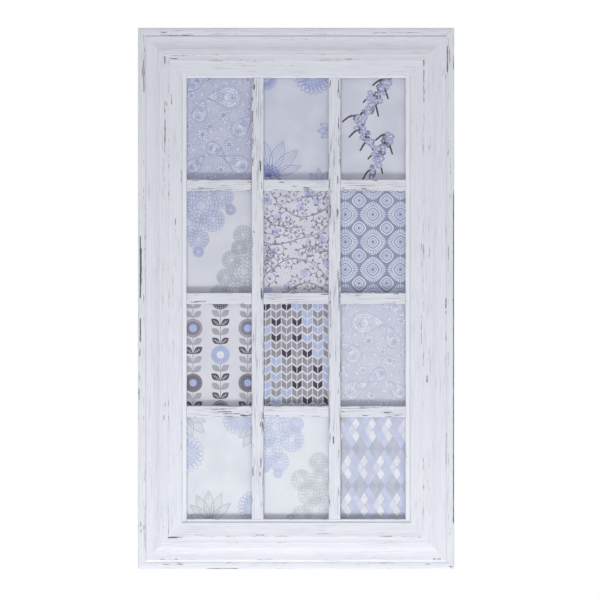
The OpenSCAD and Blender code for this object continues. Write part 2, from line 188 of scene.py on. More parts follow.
class Finish:
    """A material and the network that makes it. Constants go straight to the shader's sockets."""

    def __init__(self, name, **constants):
        self.material = bpy.data.materials.new(name)
        self.material.use_nodes = True
        self.tree = self.material.node_tree
        self.shader = self.tree.nodes["Principled BSDF"]
        for socket, value in constants.items():
            self.shader.inputs[socket.replace("_", " ")].default_value = value

    def plug(self, socket, value):
        """Links a value of the network to a socket, or sets the socket to a number or a colour."""
        if isinstance(value, Value):
            self.tree.links.new(value.socket, socket)
        else:
            socket.default_value = value

    def node(self, kind, settings=None, inputs=None, out=0):
        """Adds one node: its kind, its settings, its inputs by name or number, and what to read."""
        made = self.tree.nodes.new("ShaderNode" + kind)
        for name, value in (settings or {}).items():
            setattr(made, name, value)
        for name, value in (inputs or {}).items():
            self.plug(made.inputs[name], value)
        return Value(self, made.outputs[out])

    def mix(self, share, first, second):
        """Two colours mixed: the first where share is 0, the second where it is 1."""
        return self.node("Mix", {"data_type": "RGBA"}, {0: share, 6: first, 7: second}, out=2)

    def stretched(self, vector, by):
        """A place with each of its three parts multiplied, which squeezes a pattern along them."""
        return self.node("VectorMath", {"operation": "MULTIPLY"}, {0: vector, 1: by})

    def noise(self, vector, scale=1.0, detail=2.0, roughness=0.5):
        """Cloudy noise from 0 to 1."""
        inputs = {"Vector": vector, "Scale": scale, "Detail": detail, "Roughness": roughness}
        return self.node("TexNoise", {}, inputs)

    def place(self):
        """The place of a point on the piece, in metres."""
        return self.node("TexCoord", {}, {}, out="Object")

    def attribute(self, name, out):
        """A value or a vector that the mesh carries at each of its points."""
        return self.node("Attribute", {"attribute_name": name}, {}, out=out)

    def bump(self, height, distance, strength):
        """Fine relief, with the distance between its lowest and highest in metres."""
        inputs = {"Height": height, "Distance": distance, "Strength": strength}
        self.plug(self.shader.inputs["Normal"], self.node("Bump", {}, inputs))

    def set(self, socket, value):
        """Feeds one of the shader's sockets."""
        self.plug(self.shader.inputs[socket], value)

    def show(self, shader):
        """Sends a shader to the network's output, in place of the usual one."""
        output = next(n for n in self.tree.nodes if "Output" in n.bl_idname)
        self.tree.links.new(shader.socket, output.inputs["Surface"])


print("material helpers ready")

# %% [markdown]
# ## Studio
#
# The shadows in the cells tell where the lights stood. Each print has a dark band along its lower
# edge, ten millimetres high, with a sharp upper edge: one fairly small light shines up from below
# at 45 degrees. A wide soft light beside it lifts the lower right, and a much fainter band along
# the upper edges comes from a light above. The rest is soft light from all around. The white behind
# the frame is the world as the camera, a gloss or a glass sees it, and it lights the frame more
# gently than it looks.

# %% Studio lights
AMBIENT = 0.505
SOFT_WHITE = (0.965, 0.975, 1.0, 1.0)
WHITE = (1.0, 1.0, 1.0, 1.0)
WARMER = (0.985, 0.99, 0.955)

scene.view_settings.view_transform = "Standard"


def background_share(finish):
    """1 for the rays that should see a white background, and 0 for the rays that carry light."""
    camera_ray, gloss_ray, glass_ray = (finish.node("LightPath", {}, {}, out=f"Is {ray} Ray")
                                        for ray in ("Camera", "Glossy", "Transmission"))
    return camera_ray.at_least(gloss_ray).at_least(glass_ray)


class Surroundings(Finish):
    """The world's own network, with the same helpers as a material."""

    def __init__(self, world):
        world.use_nodes = True
        self.tree = world.node_tree
        self.tree.nodes.clear()
        self.tree.nodes.new("ShaderNodeOutputWorld")


studio = bpy.data.worlds.new("studio")
scene.world = studio
air = Surroundings(studio)
soft = air.node("Background", {}, {"Color": SOFT_WHITE, "Strength": AMBIENT})
plain = air.node("Background", {}, {"Color": WHITE, "Strength": 1.0})
air.show(air.node("MixShader", {}, {0: background_share(air), 1: soft, 2: plain}))


def lamp(name, offset, side, watts, tint=(1.0, 1.0, 1.0)):
    """A square studio light that stands at an offset from the frame's middle and faces it."""
    light = bpy.data.lights.new(name, "AREA")
    light.size = side
    light.energy = watts
    light.color = tint
    made = new_object(name, light)
    made.location = Vector((0, 0, MIDDLE * MM)) + Vector(offset)
    made.rotation_euler = (-Vector(offset)).to_track_quat("-Z", "Y").to_euler()


lamp("low_light", (-0.2, -1.45, -1.38), 0.42, 16.8, WARMER)
lamp("low_bounce", (0.7, -1.2, -1.5), 1.5, 8.0, WARMER)
lamp("high_light", (0.35, -1.55, 1.75), 0.35, 3.0)
lamp("back_light", (0.6, 2.2, 1.4), 1.2, 26.0)

# %% [markdown]
# The frame hangs high on a wall, so the pale floor lies well below it and outside the picture. It
# looks white to the camera, apart from the shadow that falls on it.

# %% Floor
FLOOR_DROP = 2.05
FLOOR_REACH = 9.0
FLOOR_VEIL = 0.85


def new_piece(name, points, faces):
    """A mesh from points in metres and the faces between them, in the scene."""
    mesh = bpy.data.meshes.new(name)
    mesh.from_pydata(points, [], faces)
    return new_object(name, mesh)


corners = [(x * FLOOR_REACH, y * FLOOR_REACH, MIDDLE * MM - FLOOR_DROP)
           for x, y in ((-1, -1), (1, -1), (1, 1), (-1, 1))]
floor = new_piece("floor", corners, [(0, 1, 2, 3)])

pale = Finish("pale_floor", Roughness=0.9, Base_Color=(0.86, 0.86, 0.86, 1.0))
glow = pale.node("Emission", {}, {"Color": WHITE, "Strength": 1.0})
lit = Value(pale, pale.shader.outputs[0])
veil = pale.node("LightPath", {}, {}, out="Is Camera Ray") * FLOOR_VEIL
pale.show(pale.node("MixShader", {}, {0: veil, 1: lit, 2: glow}))
floor.data.materials.append(pale.material)
print("floor", FLOOR_DROP, "m below the frame's middle")

# %% [markdown]
# ## Painted wood
#
# The wood is brushed with a cool white over a dark ground, and rubbed back by hand. Three things
# show that: fine brush lines along each piece, a faint unevenness of the white, and dark streaks
# where the ground shows through, mostly on edges. Three attributes on the mesh steer the paint. One
# holds the distance along the piece and across its section, so that streaks always follow the wood.
# The second says how much a place has been rubbed, and the third marks the seam where the lattice
# meets the moulding, where a dark line of painted shade goes into the paint.

# %% The paint
PAINT = shade(231, 232, 242)
PAINT_THIN = shade(219, 221, 232)
PAINT_THICK = shade(237, 238, 246)
DARK_GROUND = shade(56, 55, 72)
SCRATCH_GREY = shade(136, 138, 155)
HAZE_GREY = shade(176, 177, 194)


def painted(name, thick, thin, scratched):
    """White paint over a dark ground. scratched is how much fine scratching it has all over."""
    paint = Finish(name, Specular_IOR_Level=0.3)
    grain = paint.attribute("grain", "Vector")
    rub = paint.attribute("rub", "Fac")

    def streaks(along, across, layer=1, detail=2.0, roughness=0.5):
        """Noise that changes so many times in a metre along the wood and across it."""
        return paint.noise(paint.stretched(grain, (along, across, layer)), 1.0, detail, roughness)

    brush = streaks(14, 900, 1, 3.0, 0.6)
    fine = streaks(55, 2600, 1, 1.0)
    cloud = streaks(9, 60)
    ragged = streaks(110, 1500, 3, 4.0, 0.7)
    hair = streaks(26, 1300, 5, 2.0, 0.7)
    region = streaks(11, 45, 2, 1.0).step(0.42, 0.62)
    lines = (brush * 0.65 + fine * 0.35).step(0.36, 0.66)
    tone = paint.mix(lines, thin, thick)
    tone = paint.mix(cloud.step(0.3, 0.7) * 0.55, tone, PAINT)
    scratches = hair.step(0.55, 0.69) * (0.3 + region * 0.7) * scratched
    tone = paint.mix(scratches, tone, SCRATCH_GREY)
    haze = (rub * 0.9 + (brush - 0.5) * 0.9).step(0.15, 0.9) * 0.30
    tone = paint.mix(haze, tone, HAZE_GREY)
    worn = rub * 0.87 + region * (scratched - 0.3) * 0.24
    bare = (worn + (ragged - 0.5) * 2.4 + (fine - 0.5) * 0.6).step(0.46, 0.72)
    tone = paint.mix(bare * 0.86, tone, DARK_GROUND)
    # A dark line of painted shade along the seam where the lattice meets the moulding, mixed into
    # the paint.
    seam = paint.attribute("seam_shade", "Fac") * 0.5
    paint.set("Base Color", paint.mix(seam, tone, DARK_GROUND))
    paint.set("Roughness", 0.48 + lines * 0.12 + bare * 0.2)
    paint.bump(lines * 0.5 + fine * 0.3 - bare - scratches, 0.00025, 0.5)
    return paint.material


MOULDING_PAINT = painted("painted_moulding", PAINT_THICK, PAINT_THIN, 0.4)
LATTICE_PAINT = painted("painted_lattice", PAINT_THICK, shade(211, 213, 225), 1.2)
# The ledges get a whiter paint: a painted highlight for the light that the narrow ledge catches.
LEDGE_HIGHLIGHT_PAINT = painted("ledge_paint_highlight", shade(243, 244, 251), shade(232, 233, 243), 0.3)
print("paints:", MOULDING_PAINT.name, LATTICE_PAINT.name, LEDGE_HIGHLIGHT_PAINT.name)

# %% [markdown]
# ## Sections and sweeps
#
# A moulding is a section drawn once and run along a side. The section is an outline of distances:
# how far in from the outer edge, and how high above the back. Round parts are arcs, and slightly
# bent ones are bows over a chord. Points are added along every line, so that wear has something to
# move.

# %% Lines of a section
ACROSS_STEP = 0.75


def arc(centre, radius, start, end, steps=7):
    """Points along a round part of a section, both ends included."""
    angles = [math.radians(start + (end - start) * i / steps) for i in range(steps + 1)]
    return [(centre[0] + radius * math.cos(a), centre[1] + radius * math.sin(a)) for a in angles]


def bow(start, end, rise, steps=8):
    """Points of an arc between two points, that stands off their chord by a rise."""
    chord = Vector(end) - Vector(start)
    half = chord.length / 2
    radius = (half * half + rise * rise) / (2 * abs(rise))
    side = Vector((-chord.y, chord.x)).normalized() * math.copysign(1, rise)
    centre = (Vector(start) + Vector(end)) / 2 - side * (radius - abs(rise))
    first = math.degrees(math.atan2(start[1] - centre.y, start[0] - centre.x))
    turn = math.degrees(2 * math.asin(half / radius)) * math.copysign(1, rise)
    return arc(centre, radius, first, first - turn, steps)


def with_points(line, step):
    """The same line with points added, so that no stretch is longer than the step."""
    made = [line[0]]
    for (x0, y0), (x1, y1) in zip(line, line[1:]):
        count = max(1, math.ceil(math.hypot(x1 - x0, y1 - y0) / step))
        made += [(x0 + (x1 - x0) * i / count, y0 + (y1 - y0) * i / count)
                 for i in range(1, count + 1)]
    return made


print(f"a quarter round has {len(arc((0, 0), 1, 180, 90))} points")

# %% [markdown]
# The section also knows its own girth, which the paint's streaks follow, and how close each point
# lies to an arris, where paint rubs off first. Each arris is a place and a share of how easily it
# rubs.

# %% A section
ARRIS_REACH = 1.3
BATCH = 4000


class Section:
    """A closed outline: a finely divided front, and a plain back."""

    def __init__(self, front, back, arrises):
        line = with_points(front, ACROSS_STEP)
        self.points = np.array(line + back)
        gaps = np.hypot(*np.diff(self.points, axis=0).T)
        self.girth = np.concatenate([[0], np.cumsum(gaps)])
        edges = np.array([a[:2] for a in arrises])
        apart = np.hypot(*(self.points[:, None] - edges[None]).transpose(2, 0, 1))
        worn = np.exp(-((apart / ARRIS_REACH) ** 2)) * np.array([a[2] for a in arrises])
        self.arris = worn.max(1)
        turned = np.roll(self.points, -1, 0) - np.roll(self.points, 1, 0)
        inward = np.stack([turned[:, 1], -turned[:, 0]], 1)
        self.inward = inward / np.hypot(*inward.T)[:, None]

    def nearest(self, across, height):
        """For each place, the number of the section's point that lies closest to it."""
        found = np.empty(len(across), int)
        for start in range(0, len(across), BATCH):
            part = slice(start, start + BATCH)
            apart = (across[part, None] - self.points[:, 0]) ** 2
            apart += (height[part, None] - self.points[:, 1]) ** 2
            found[part] = apart.argmin(1)
        return found


print("sections ready")

# %% [markdown]
# Wear comes in two kinds. All arrises are rubbed here and there, by three waves along the piece
# that never fall in step. Single marks have their own start, end and place. Neither runs far down
# the outer sides of a piece: only a ragged little way, as knocks and handling leave it.

# %% Where wear lies
MARK_SOFT = 3.0
MARK_WIDTH = 0.85
SIDE_SLACK = 0.3
FRONT_SHARE = 0.4


def rubbed(along, across, arris, marks, seed, front):
    """How much the paint is rubbed, from 0 to above 1: edges here and there, and single marks.
    Three waves along the piece decide where its edges have worn, and front where wear can lie."""
    patches = np.sin(along * 0.061 + seed) * np.sin(along * 0.023 + 2.3 * seed)
    patches = patches + 0.5 * np.sin(along * 0.17 + 5.1 * seed)
    rub = arris * np.clip(0.30 + 0.30 * patches, 0, 1)
    for start, end, place, strength in marks:
        low, high = min(start, end), max(start, end)
        length = np.clip((along - low) / MARK_SOFT + 0.5, 0, 1)
        length = length * np.clip((high - along) / MARK_SOFT + 0.5, 0, 1)
        width = np.exp(-(((across - place) / MARK_WIDTH) ** 2))
        rub = np.maximum(rub, strength * length * width)
    return rub * front


def wear_reach(section, along, across, height):
    """Where wear can lie: all of the front, and down both sides only a ragged little way."""
    share = (height > section.points[:, 1].max() * FRONT_SHARE) * 1.0
    depth = 1.7 + 0.8 * np.sin(along * 0.083) + 0.5 * np.sin(along * 0.31)
    for end in (section.points[:, 0].min(), section.points[:, 0].max()):
        arris = section.points[abs(section.points[:, 0] - end) < SIDE_SLACK, 1].max()
        down = np.clip(1.3 - (arris - height) / depth, 0, 1)
        share = np.where(abs(across - end) < SIDE_SLACK, share * down, share)
    return share


print("wear ready")

# %% [markdown]
# The sweep puts many points along each line, so that edges can be worn unevenly, and it cuts the
# ends at 45 degrees if the piece is mitred. The wear goes into the mesh, a few tenths of a
# millimetre deep, and stays inside the sharp shape. One pair of functions says how a piece lies in
# the frame, upright or flat, and leads back from a place to the distances it was drawn with.

# %% Sweeping a section along a piece
ALONG_STEP = 2.2
WEAR_DEPTH = 0.25
END_SPARED = 3.0


def outward(piece, join=0.0):
    """Turns all faces of a closed piece to look outward, after joining points closer than join."""
    shape = bmesh.new()
    shape.from_mesh(piece.data)
    if join:
        bmesh.ops.remove_doubles(shape, verts=shape.verts, dist=join)
    bmesh.ops.recalc_face_normals(shape, faces=shape.faces)
    shape.to_mesh(piece.data)
    shape.free()
    return piece


def sweep(name, section, half_length, place, lean, marks, seed):
    """The section run along a piece as a closed mesh, with its edges worn. Its ends lean inward by
    lean for each millimetre across, and 0 leaves them square."""
    steps = max(4, round(2 * half_length / ALONG_STEP))
    share = np.linspace(-1, 1, steps + 1)
    across, height = section.points.T
    reach = half_length - across * lean
    along = reach[:, None] * share[None, :]
    front = wear_reach(section, along, across[:, None], height[:, None])
    rub = rubbed(along, across[:, None], section.arris[:, None], marks, seed, front)
    whole_end = np.clip((1 - abs(share)) * half_length / END_SPARED, 0, 1)
    worn = WEAR_DEPTH * np.clip(rub, 0, 1) * whole_end
    moved_across = across[:, None] + section.inward[:, :1] * worn
    moved_height = height[:, None] + section.inward[:, 1:] * worn
    points = np.stack(np.broadcast_arrays(*place(along, moved_across, moved_height)), -1) * MM
    count, wide = along.shape
    number = np.arange(count * wide).reshape(count, wide)
    after = np.roll(number, -1, 0)
    quads = np.stack([number[:, :-1], number[:, 1:], after[:, 1:], after[:, :-1]], -1)
    faces = quads.reshape(-1, 4).tolist() + [number[:, 0].tolist(), number[::-1, -1].tolist()]
    return outward(new_piece(name, points.reshape(-1, 3).tolist(), faces))


def laid(upright, x, z, sign=1):
    """Two functions for a piece that lies upright or flat in the frame. The first turns a distance
    along it, one across it and one up from the back into a place, and the second turns it back."""
    def place(along, across, up):
        across = sign * across
        return (x + across, -up, z + along) if upright else (x + along, -up, z + across)

    def unplace(px, py, pz):
        along, across = (pz - z, px - x) if upright else (px - x, pz - z)
        return along, sign * across, -py

    return place, unplace


print("sweeps ready")

# %% [markdown]
# Once a piece has its final mesh, each of its points is led back to its place on the section. That
# gives the attributes for the paint, also on faces that a cut has left.

# %% Paint on a swept piece
# How far the painted shade along a seam spreads, in millimetres.
SEAM_SHADE_WIDTH = 0.55
SHARP_ANGLE = 32


def dress(piece, section, unplace, marks, seed, paint, seam=None):
    """Gives a swept piece its attributes, its smooth faces and its paint. seam is the place across
    the section where another piece meets it, if there is one, and the paint gets a dark line of
    painted shade along it."""
    mesh = piece.data
    points = np.empty(len(mesh.vertices) * 3)
    mesh.vertices.foreach_get("co", points)
    along, across, height = unplace(*(points.reshape(-1, 3) / MM).T)
    near = section.nearest(across, height)
    front = wear_reach(section, along, across, height)
    rub = rubbed(along, across, section.arris[near], marks, seed, front)
    grain = np.stack([along + 1000 * seed, section.girth[near], 0 * along + 7 * seed], 1) * MM
    # The seam gets a narrow band of painted shade, strongest right at the seam.
    seam_shade = 0 * along if seam is None else np.exp(-(((across - seam) / SEAM_SHADE_WIDTH) ** 2))
    mesh.attributes.new("grain", "FLOAT_VECTOR", "POINT").data.foreach_set("vector", grain.ravel())
    for name, values in (("rub", rub), ("seam_shade", seam_shade)):
        mesh.attributes.new(name, "FLOAT", "POINT").data.foreach_set("value", values)
    mesh.polygons.foreach_set("use_smooth", [True] * len(mesh.polygons))
    mesh.set_sharp_from_angle(angle=math.radians(SHARP_ANGLE))
    mesh.materials.clear()
    mesh.materials.append(paint)


print("painting ready")

# %% [markdown]
# ## The moulding
#
# From the outside in, the section has a low, slightly crowned lip, a crease, a shoulder, a wide
# hollow that rises to a flat bead, a small ridge, a scoop up to the highest arris, and a broad band
# to the sight edge. The top and bottom lengths are a little wider than the sides, so their section
# is the same one, stretched. The arrises get a share each of how easily they rub.

# %% The moulding's section
LIP_H = THICK - 4.8
REBATE_H = 14.4
REBATE_W = 8.0
side_line = [(0.0, 0.0)]
side_line += arc((1.2, LIP_H - 1.2), 1.2, 180, 90)
side_line += bow((1.2, LIP_H), (8.6, LIP_H), 0.3)
side_line += [(9.4, LIP_H - 0.6), (9.9, LIP_H - 0.6)]
side_line += bow((11.88, THICK - 3.7), (13.2, THICK - 3.4), 0.1, 5)
side_line += bow((13.2, THICK - 3.4), (29.8, THICK - 1.1), -1.33, 14)
side_line += [(30.3, THICK - 1.5)]
side_line += bow((30.8, THICK - 1.1), (34.6, THICK - 0.8), 0.15)
side_line += bow((35.3, THICK - 0.45), (36.4, THICK - 0.45), 0.1, 5)
side_line += bow((38.2, THICK - 0.65), (43.7, THICK - 0.1), -0.15)
side_line += bow((43.7, THICK - 0.1), (44.7, THICK - 0.1), 0.1, 5)
side_line += bow((47.6, THICK - 0.65), (SIDE_W - 0.8, THICK - 1.6), -0.15, 14)
side_line += arc((SIDE_W - 0.8, THICK - 2.4), 0.8, 90, 0)
side_line += [(SIDE_W, REBATE_H)]
ARRISES = [
    (0.4, LIP_H - 0.3, 0.7), (8.4, LIP_H + 0.1, 0.9), (12.6, THICK - 3.5, 0.45),
    (36.0, THICK - 0.4, 0.7), (44.2, THICK, 0.95), (SIDE_W - 0.3, THICK - 1.9, 0.3),
]


def moulding_section(width):
    """The section of a moulding of one width."""
    spread = width / SIDE_W
    front = [(u * spread, h) for u, h in side_line]
    back = [(width - REBATE_W, REBATE_H), (width - REBATE_W, 0.0)]
    return Section(front, back, [(u * spread, h, share) for u, h, share in ARRISES])


SECTIONS = {"side": moulding_section(SIDE_W), "end": moulding_section(END_W)}
print({name: f"{len(s.points)} points, {s.girth[-1]:.0f} mm round" for name, s in SECTIONS.items()})

# %% [markdown]
# The strongest marks of wear have their own places. Each is a start and an end along the side,
# measured from its middle, a distance in from the outer edge, and a strength, in millimetres and in
# shares. The left side has lost the most paint along its outer lip, and the right side has a long
# dark line along its very edge.

# %% Marks of wear on the moulding
WEAR = {
    "top": [
        (-193, -183, 6.5, 0.9), (-193, -144, 10.5, 0.6), (-180, -172, 10.8, 0.9),
        (-161, -150, 10.6, 0.95), (-179, -163, 4, 0.55), (-129, -105, 5, 0.5),
        (-75, -48, 5.5, 0.45), (-23, 0, 17, 0.45), (-182, -144, 40, 0.65), (-179, -168, 44.5, 1.1),
        (-73, -44, 48, 0.7), (-40, -30, 46.3, 0.7), (-101, 6, 54, 0.4), (105, 176, 7, 0.62),
        (9, 17, 16.5, 0.7), (39, 43, 16.5, 0.75), (53, 63, 16.5, 0.55), (38, 91, 45, 0.5),
        (68, 80, 45, 0.8), (218, 222, 6, 1.3), (-225, -222, 4.5, 1.0),
    ],
    "left": [
        (359, 292, 9, 0.65), (339, 293, 8.4, 0.95), (336, 313, 6.3, 0.8), (349, 333, 38.5, 1.15),
        (282, 204, 38.5, 0.75), (254, 222, 38.8, 1.0), (204, 140, 38, 0.5), (291, 274, 48, 0.9),
        (279, 273, 41.5, 0.95), (183, 164, 62, 0.8), (140, 12, 10, 0.5), (89, 0, 3.4, 1.6),
        (72, 20, 4.6, 1.3), (-28, -62, 3.4, 1.6), (-71, -82, 2.6, 1.0), (-106, -119, 2, 0.7),
        (114, 104, 53.6, 0.8), (100, 94, 53.6, 0.6), (62, 37, 54, 0.5), (33, 3, 50, 0.55),
        (-4, -17, 50, 0.5), (-59, -88, 50, 0.5), (-128, -145, 1.7, 0.95), (-130, -162, 39, 0.6),
        (-165, -173, 37.5, 0.95), (-173, -216, 62, 0.55), (-234, -261, 10, 0.6),
        (-294, -358, 10, 0.6), (-317, -325, 4, 1.0), (-328, -333, 4, 0.8), (-312, -329, 43.5, 0.5),
    ],
    "right": [
        (360, 322, 9.5, 0.95), (330, 321, 9.8, 1.3), (359, 332, 6.7, 0.7), (345, 325, 1, 0.8),
        (327, 314, 16, 0.6), (320, 312, 12, 0.6), (341, 329, 43.6, 1.3), (325, 278, 43.6, 0.85),
        (275, 247, 43.2, 0.5), (242, 225, 11, 0.5), (200, 175, 5.5, 0.6), (149, 142, 6, 0.75),
        (154, -315, 0.2, 2.2), (150, -320, 0.9, 1.25), (109, 83, 12, 0.55), (0, -14, 12, 1.15),
        (-17, -23, 12, 0.9),
        (-45, -61, 12, 0.85), (79, 69, 47, 0.75), (55, 40, 47, 0.5), (-24, -66, 47, 0.7),
        (-109, -120, 39, 1.2), (-91, -100, 48, 0.7), (-190, -244, 11.7, 0.65),
        (-176, -184, 18, 0.65), (-344, -353, 41, 1.1), (-326, -338, 6, 0.55), (0, -3, 2.5, 1.0),
        (-43, -46, 3, 1.0),
    ],
    "bottom": [
        (-183, -167, 45.4, 1.7), (-165, -161, 45.6, 1.1), (-194, -186, 14, 0.8),
        (-182, -168, 14, 0.65), (-58, -30, 14, 0.6), (-169, -160, 7, 1.05), (-190, -179, 7, 0.7),
        (-127, -82, 0.6, 1.0), (-144, -129, 49, 0.6), (-58, -44, 49, 0.8), (-162, -115, 46.5, 0.5),
        (27, 55, 51, 0.6), (148, 169, 46.5, 0.6), (172, 179, 46, 1.0), (194, 199, 14.5, 1.2),
        (200, 206, 14.2, 0.95), (211, 214, 14, 0.95), (218, 223, 3.5, 1.5), (183, 191, 7, 0.8),
        (84, 105, 7, 0.5),
    ],
}
print(f"{sum(len(v) for v in WEAR.values())} marks of wear")

# %% [markdown]
# Each side knows where its points go, and how to read a point back. Behind, the corners hold angle
# nails, and the top side has two pockets for the heads of the wall screws. The pockets and the
# nails' slots are cut out with booleans, as a router and a hammer would.

# %% The four sides
SIDES = {
    "top": (HALF_WIDTH, laid(False, 0, TOP, -1)),
    "bottom": (HALF_WIDTH, laid(False, 0, BOTTOM)),
    "left": (HALF_HEIGHT, laid(True, LEFT, MIDDLE)),
    "right": (HALF_HEIGHT, laid(True, RIGHT, MIDDLE, -1)),
}
POCKET_R = 5.5
POCKET_DEEP = 7.0
SLOT_RISE = 12.0
JOIN = 0.01 * MM
AT_BACK = -0.1 * MM


def nail_cutter():
    """The corner nails' own shape, with its back faces drawn out past the moulding's back."""
    mesh = NODES["corner_nails"].data
    points = [(v.co.x, v.co.y + (MM if v.co.y > AT_BACK else 0), v.co.z) for v in mesh.vertices]
    faces = [tuple(p.vertices) for p in mesh.polygons]
    return outward(new_piece("nail_cutter", points, faces), JOIN)


def pocket_cutter(x):
    """A routed slot with round ends, behind one keyhole."""
    outline = arc((x, 0), POCKET_R, 180, 360, 16) + arc((x, SLOT_RISE), POCKET_R, 0, 180, 16)
    count = len(outline)
    points = [(u * MM, y * MM, z * MM) for y in (1.0, -POCKET_DEEP) for u, z in outline]
    faces = [list(range(count)), list(range(2 * count - 1, count - 1, -1))]
    faces += [[i, i + count, (i + 1) % count + count, (i + 1) % count] for i in range(count)]
    return outward(new_piece("pocket_cutter", points, faces), JOIN)


def cut(piece, cutters):
    """Takes the cutters' shapes out of a piece, and removes the cutters."""
    for cutter in cutters:
        boolean = piece.modifiers.new("cut", "BOOLEAN")
        boolean.operation = "DIFFERENCE"
        boolean.solver = "EXACT"
        boolean.object = cutter
    now = bpy.context.evaluated_depsgraph_get()
    mesh = bpy.data.meshes.new_from_object(piece.evaluated_get(now))
    piece.modifiers.clear()
    piece.data = mesh
    for cutter in cutters:
        bpy.data.objects.remove(cutter)


hanger_x = abs(middle_mm("hanger_plate_left")[0])
for number, (side, (half, (place, unplace))) in enumerate(SIDES.items(), 1):
    is_end = side in ("top", "bottom")
    section = SECTIONS["end" if is_end else "side"]
    lean = SIDE_W / END_W if is_end else END_W / SIDE_W
    seed = number * 1.7
    piece = sweep(f"moulding_{side}_painted", section, half, place, lean, WEAR[side], seed)
    cutters = [nail_cutter()]
    if side == "top":
        cutters += [pocket_cutter(hanger_x), pocket_cutter(-hanger_x)]
    cut(piece, cutters)
    dress(piece, section, unplace, WEAR[side], seed, MOULDING_PAINT)
    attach(piece, "frame")
    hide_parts(f"moulding_{side}")
    print(f"{piece.name}: {len(piece.data.vertices)} points")

# %% [markdown]
# ## The lattice
#
# The bars are plain strips with eased front edges, 8 mm thick. Two mullions run from top to bottom,
# and short transoms butt against them, so thin seams show at their ends. They are painted and
# rubbed like the moulding. A bar's section and length come from its CAD piece.

# %% Marks of wear on the bars
STREAKS_APART = 24.0
BAR_WEAR = {
    "mullion_left": [(305, 298, -4.5, 1.2), (258, 236, -6.8, 0.6), (-240, -252, -6.8, 1.1),
                     (-246, -252, 3.3, 1.0), (90, 60, -7.4, 0.7), (-60, -110, 7.4, 0.6)],
    "mullion_right": [(294, 284, 7.2, 1.1), (-196, -207, -1.6, 1.4), (170, 120, -6.9, 0.6),
                      (40, -20, 7.2, 0.6), (258, 240, 5.5, 0.6)],
    "transom_r1_c1": [(44.5, 46.5, -6, 1.5), (44.5, 46.5, -3, 1.4), (44.5, 46.5, 0.5, 1.4),
                      (44.5, 46.5, 4, 1.3), (-20, 0, -5, 0.5)],
    "transom_r1_c2": [(-6, 2, -1.5, 0.9), (-34, -18, -6.8, 0.8), (10, 24, -6.8, 0.6)],
    "transom_r2_c1": [(-41, -31, -5, 0.9), (0, 20, 6.5, 0.5)],
    "transom_r2_c3": [(-30, -10, 6.5, 0.6), (12, 30, -6.5, 0.5)],
    "transom_r3_c1": [(-12, 8, 3, 0.6), (-2, 18, 0, 0.65), (8, 30, -3, 0.6)],
    "transom_r3_c2": [(-40, -30, 2, 0.6), (20, 36, -6.6, 0.7)],
    "transom_r3_c3": [(16, 26, -1.5, 0.8), (-46, -40, 0, 0.95), (-20, 10, 6.4, 0.5)],
}


def strewn(half_length, half_width, seed):
    """Short streaks strewn along a bar, most of them near its edges."""
    draw = np.random.default_rng(int(seed * 100))
    marks = []
    for _ in range(int(half_length * 2 / STREAKS_APART)):
        start = float(draw.uniform(-half_length, half_length))
        across = half_width * float(draw.uniform(0.5, 0.92)) * float(draw.choice((-1, 1)))
        end = start + float(draw.uniform(4, 18))
        marks.append((start, end, across, float(draw.uniform(0.5, 1.0))))
    return marks


print(f"{sum(len(v) for v in BAR_WEAR.values())} marks of wear on the bars")

# %% [markdown]
# A bar is run along its length like the moulding, with square ends. The outer uprights and rails
# show only as a narrow bright ledge inside the moulding, so they have a whiter paint, a painted
# highlight for the light that the ledge catches. A dark seam of painted shade lies where the
# moulding covers them. The tenons are inside the joints and don't show.

# %% Lattice bars
BAR_EASE = 0.9
SEAM = 0.12
TENON = 4.0
# Where the moulding covers the uprights and the top rail, the paint gets a dark line of painted
# shade. The bottom rail has none, because the light from below casts a real shadow there.
SIGHT = {"lattice_stile_left": LEFT + SIDE_W, "lattice_stile_right": RIGHT - SIDE_W,
         "lattice_rail_top": TOP - END_W}
SEAMS = {node: edge - middle_mm(node)[0 if "stile" in node else 2] for node, edge in SIGHT.items()}


def bar_section(half_width, low, high, ease_low, ease_high):
    """A bar's outline: its half width, its heights, and which of its front edges are eased."""
    inset = half_width - BAR_EASE
    near = arc((-inset, high - BAR_EASE), BAR_EASE, 180, 90, 5)
    far = arc((inset, high - BAR_EASE), BAR_EASE, 90, 0, 5)
    front = [(-half_width, low)] + (near if ease_low else [(-half_width, high)])
    front += (far if ease_high else [(half_width, high)]) + [(half_width, low)]
    worn = half_width - 0.3
    return Section(front, [], [(-worn, high, 0.8 * ease_low), (worn, high, 0.8 * ease_high)])


def lattice_bar(node, upright, seed, ease_low=True, ease_high=True):
    """One painted bar in the place of its CAD piece."""
    (x0, y0, z0), (x1, y1, z1) = box_mm(node)
    place, unplace = laid(upright, (x0 + x1) / 2, (z0 + z1) / 2)
    hidden = 0 if "stile" in node else TENON
    if upright:
        half_width, half_length = (x1 - x0) / 2, (z1 - z0) / 2 - hidden
    else:
        half_width, half_length = (z1 - z0) / 2, (x1 - x0) / 2 - hidden - SEAM
    section = bar_section(half_width, -y1, -y0, ease_low, ease_high)
    ledge = "stile" in node or "rail" in node
    marks = BAR_WEAR.get(node, []) + ([] if ledge else strewn(half_length, half_width, seed))
    seam = SEAMS.get(node)
    piece = sweep(f"{node}_painted", section, half_length, place, 0.0, marks, seed)
    dress(piece, section, unplace, marks, seed, LEDGE_HIGHLIGHT_PAINT if ledge else LATTICE_PAINT, seam)
    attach(piece, "frame")
    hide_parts(node)
    return piece


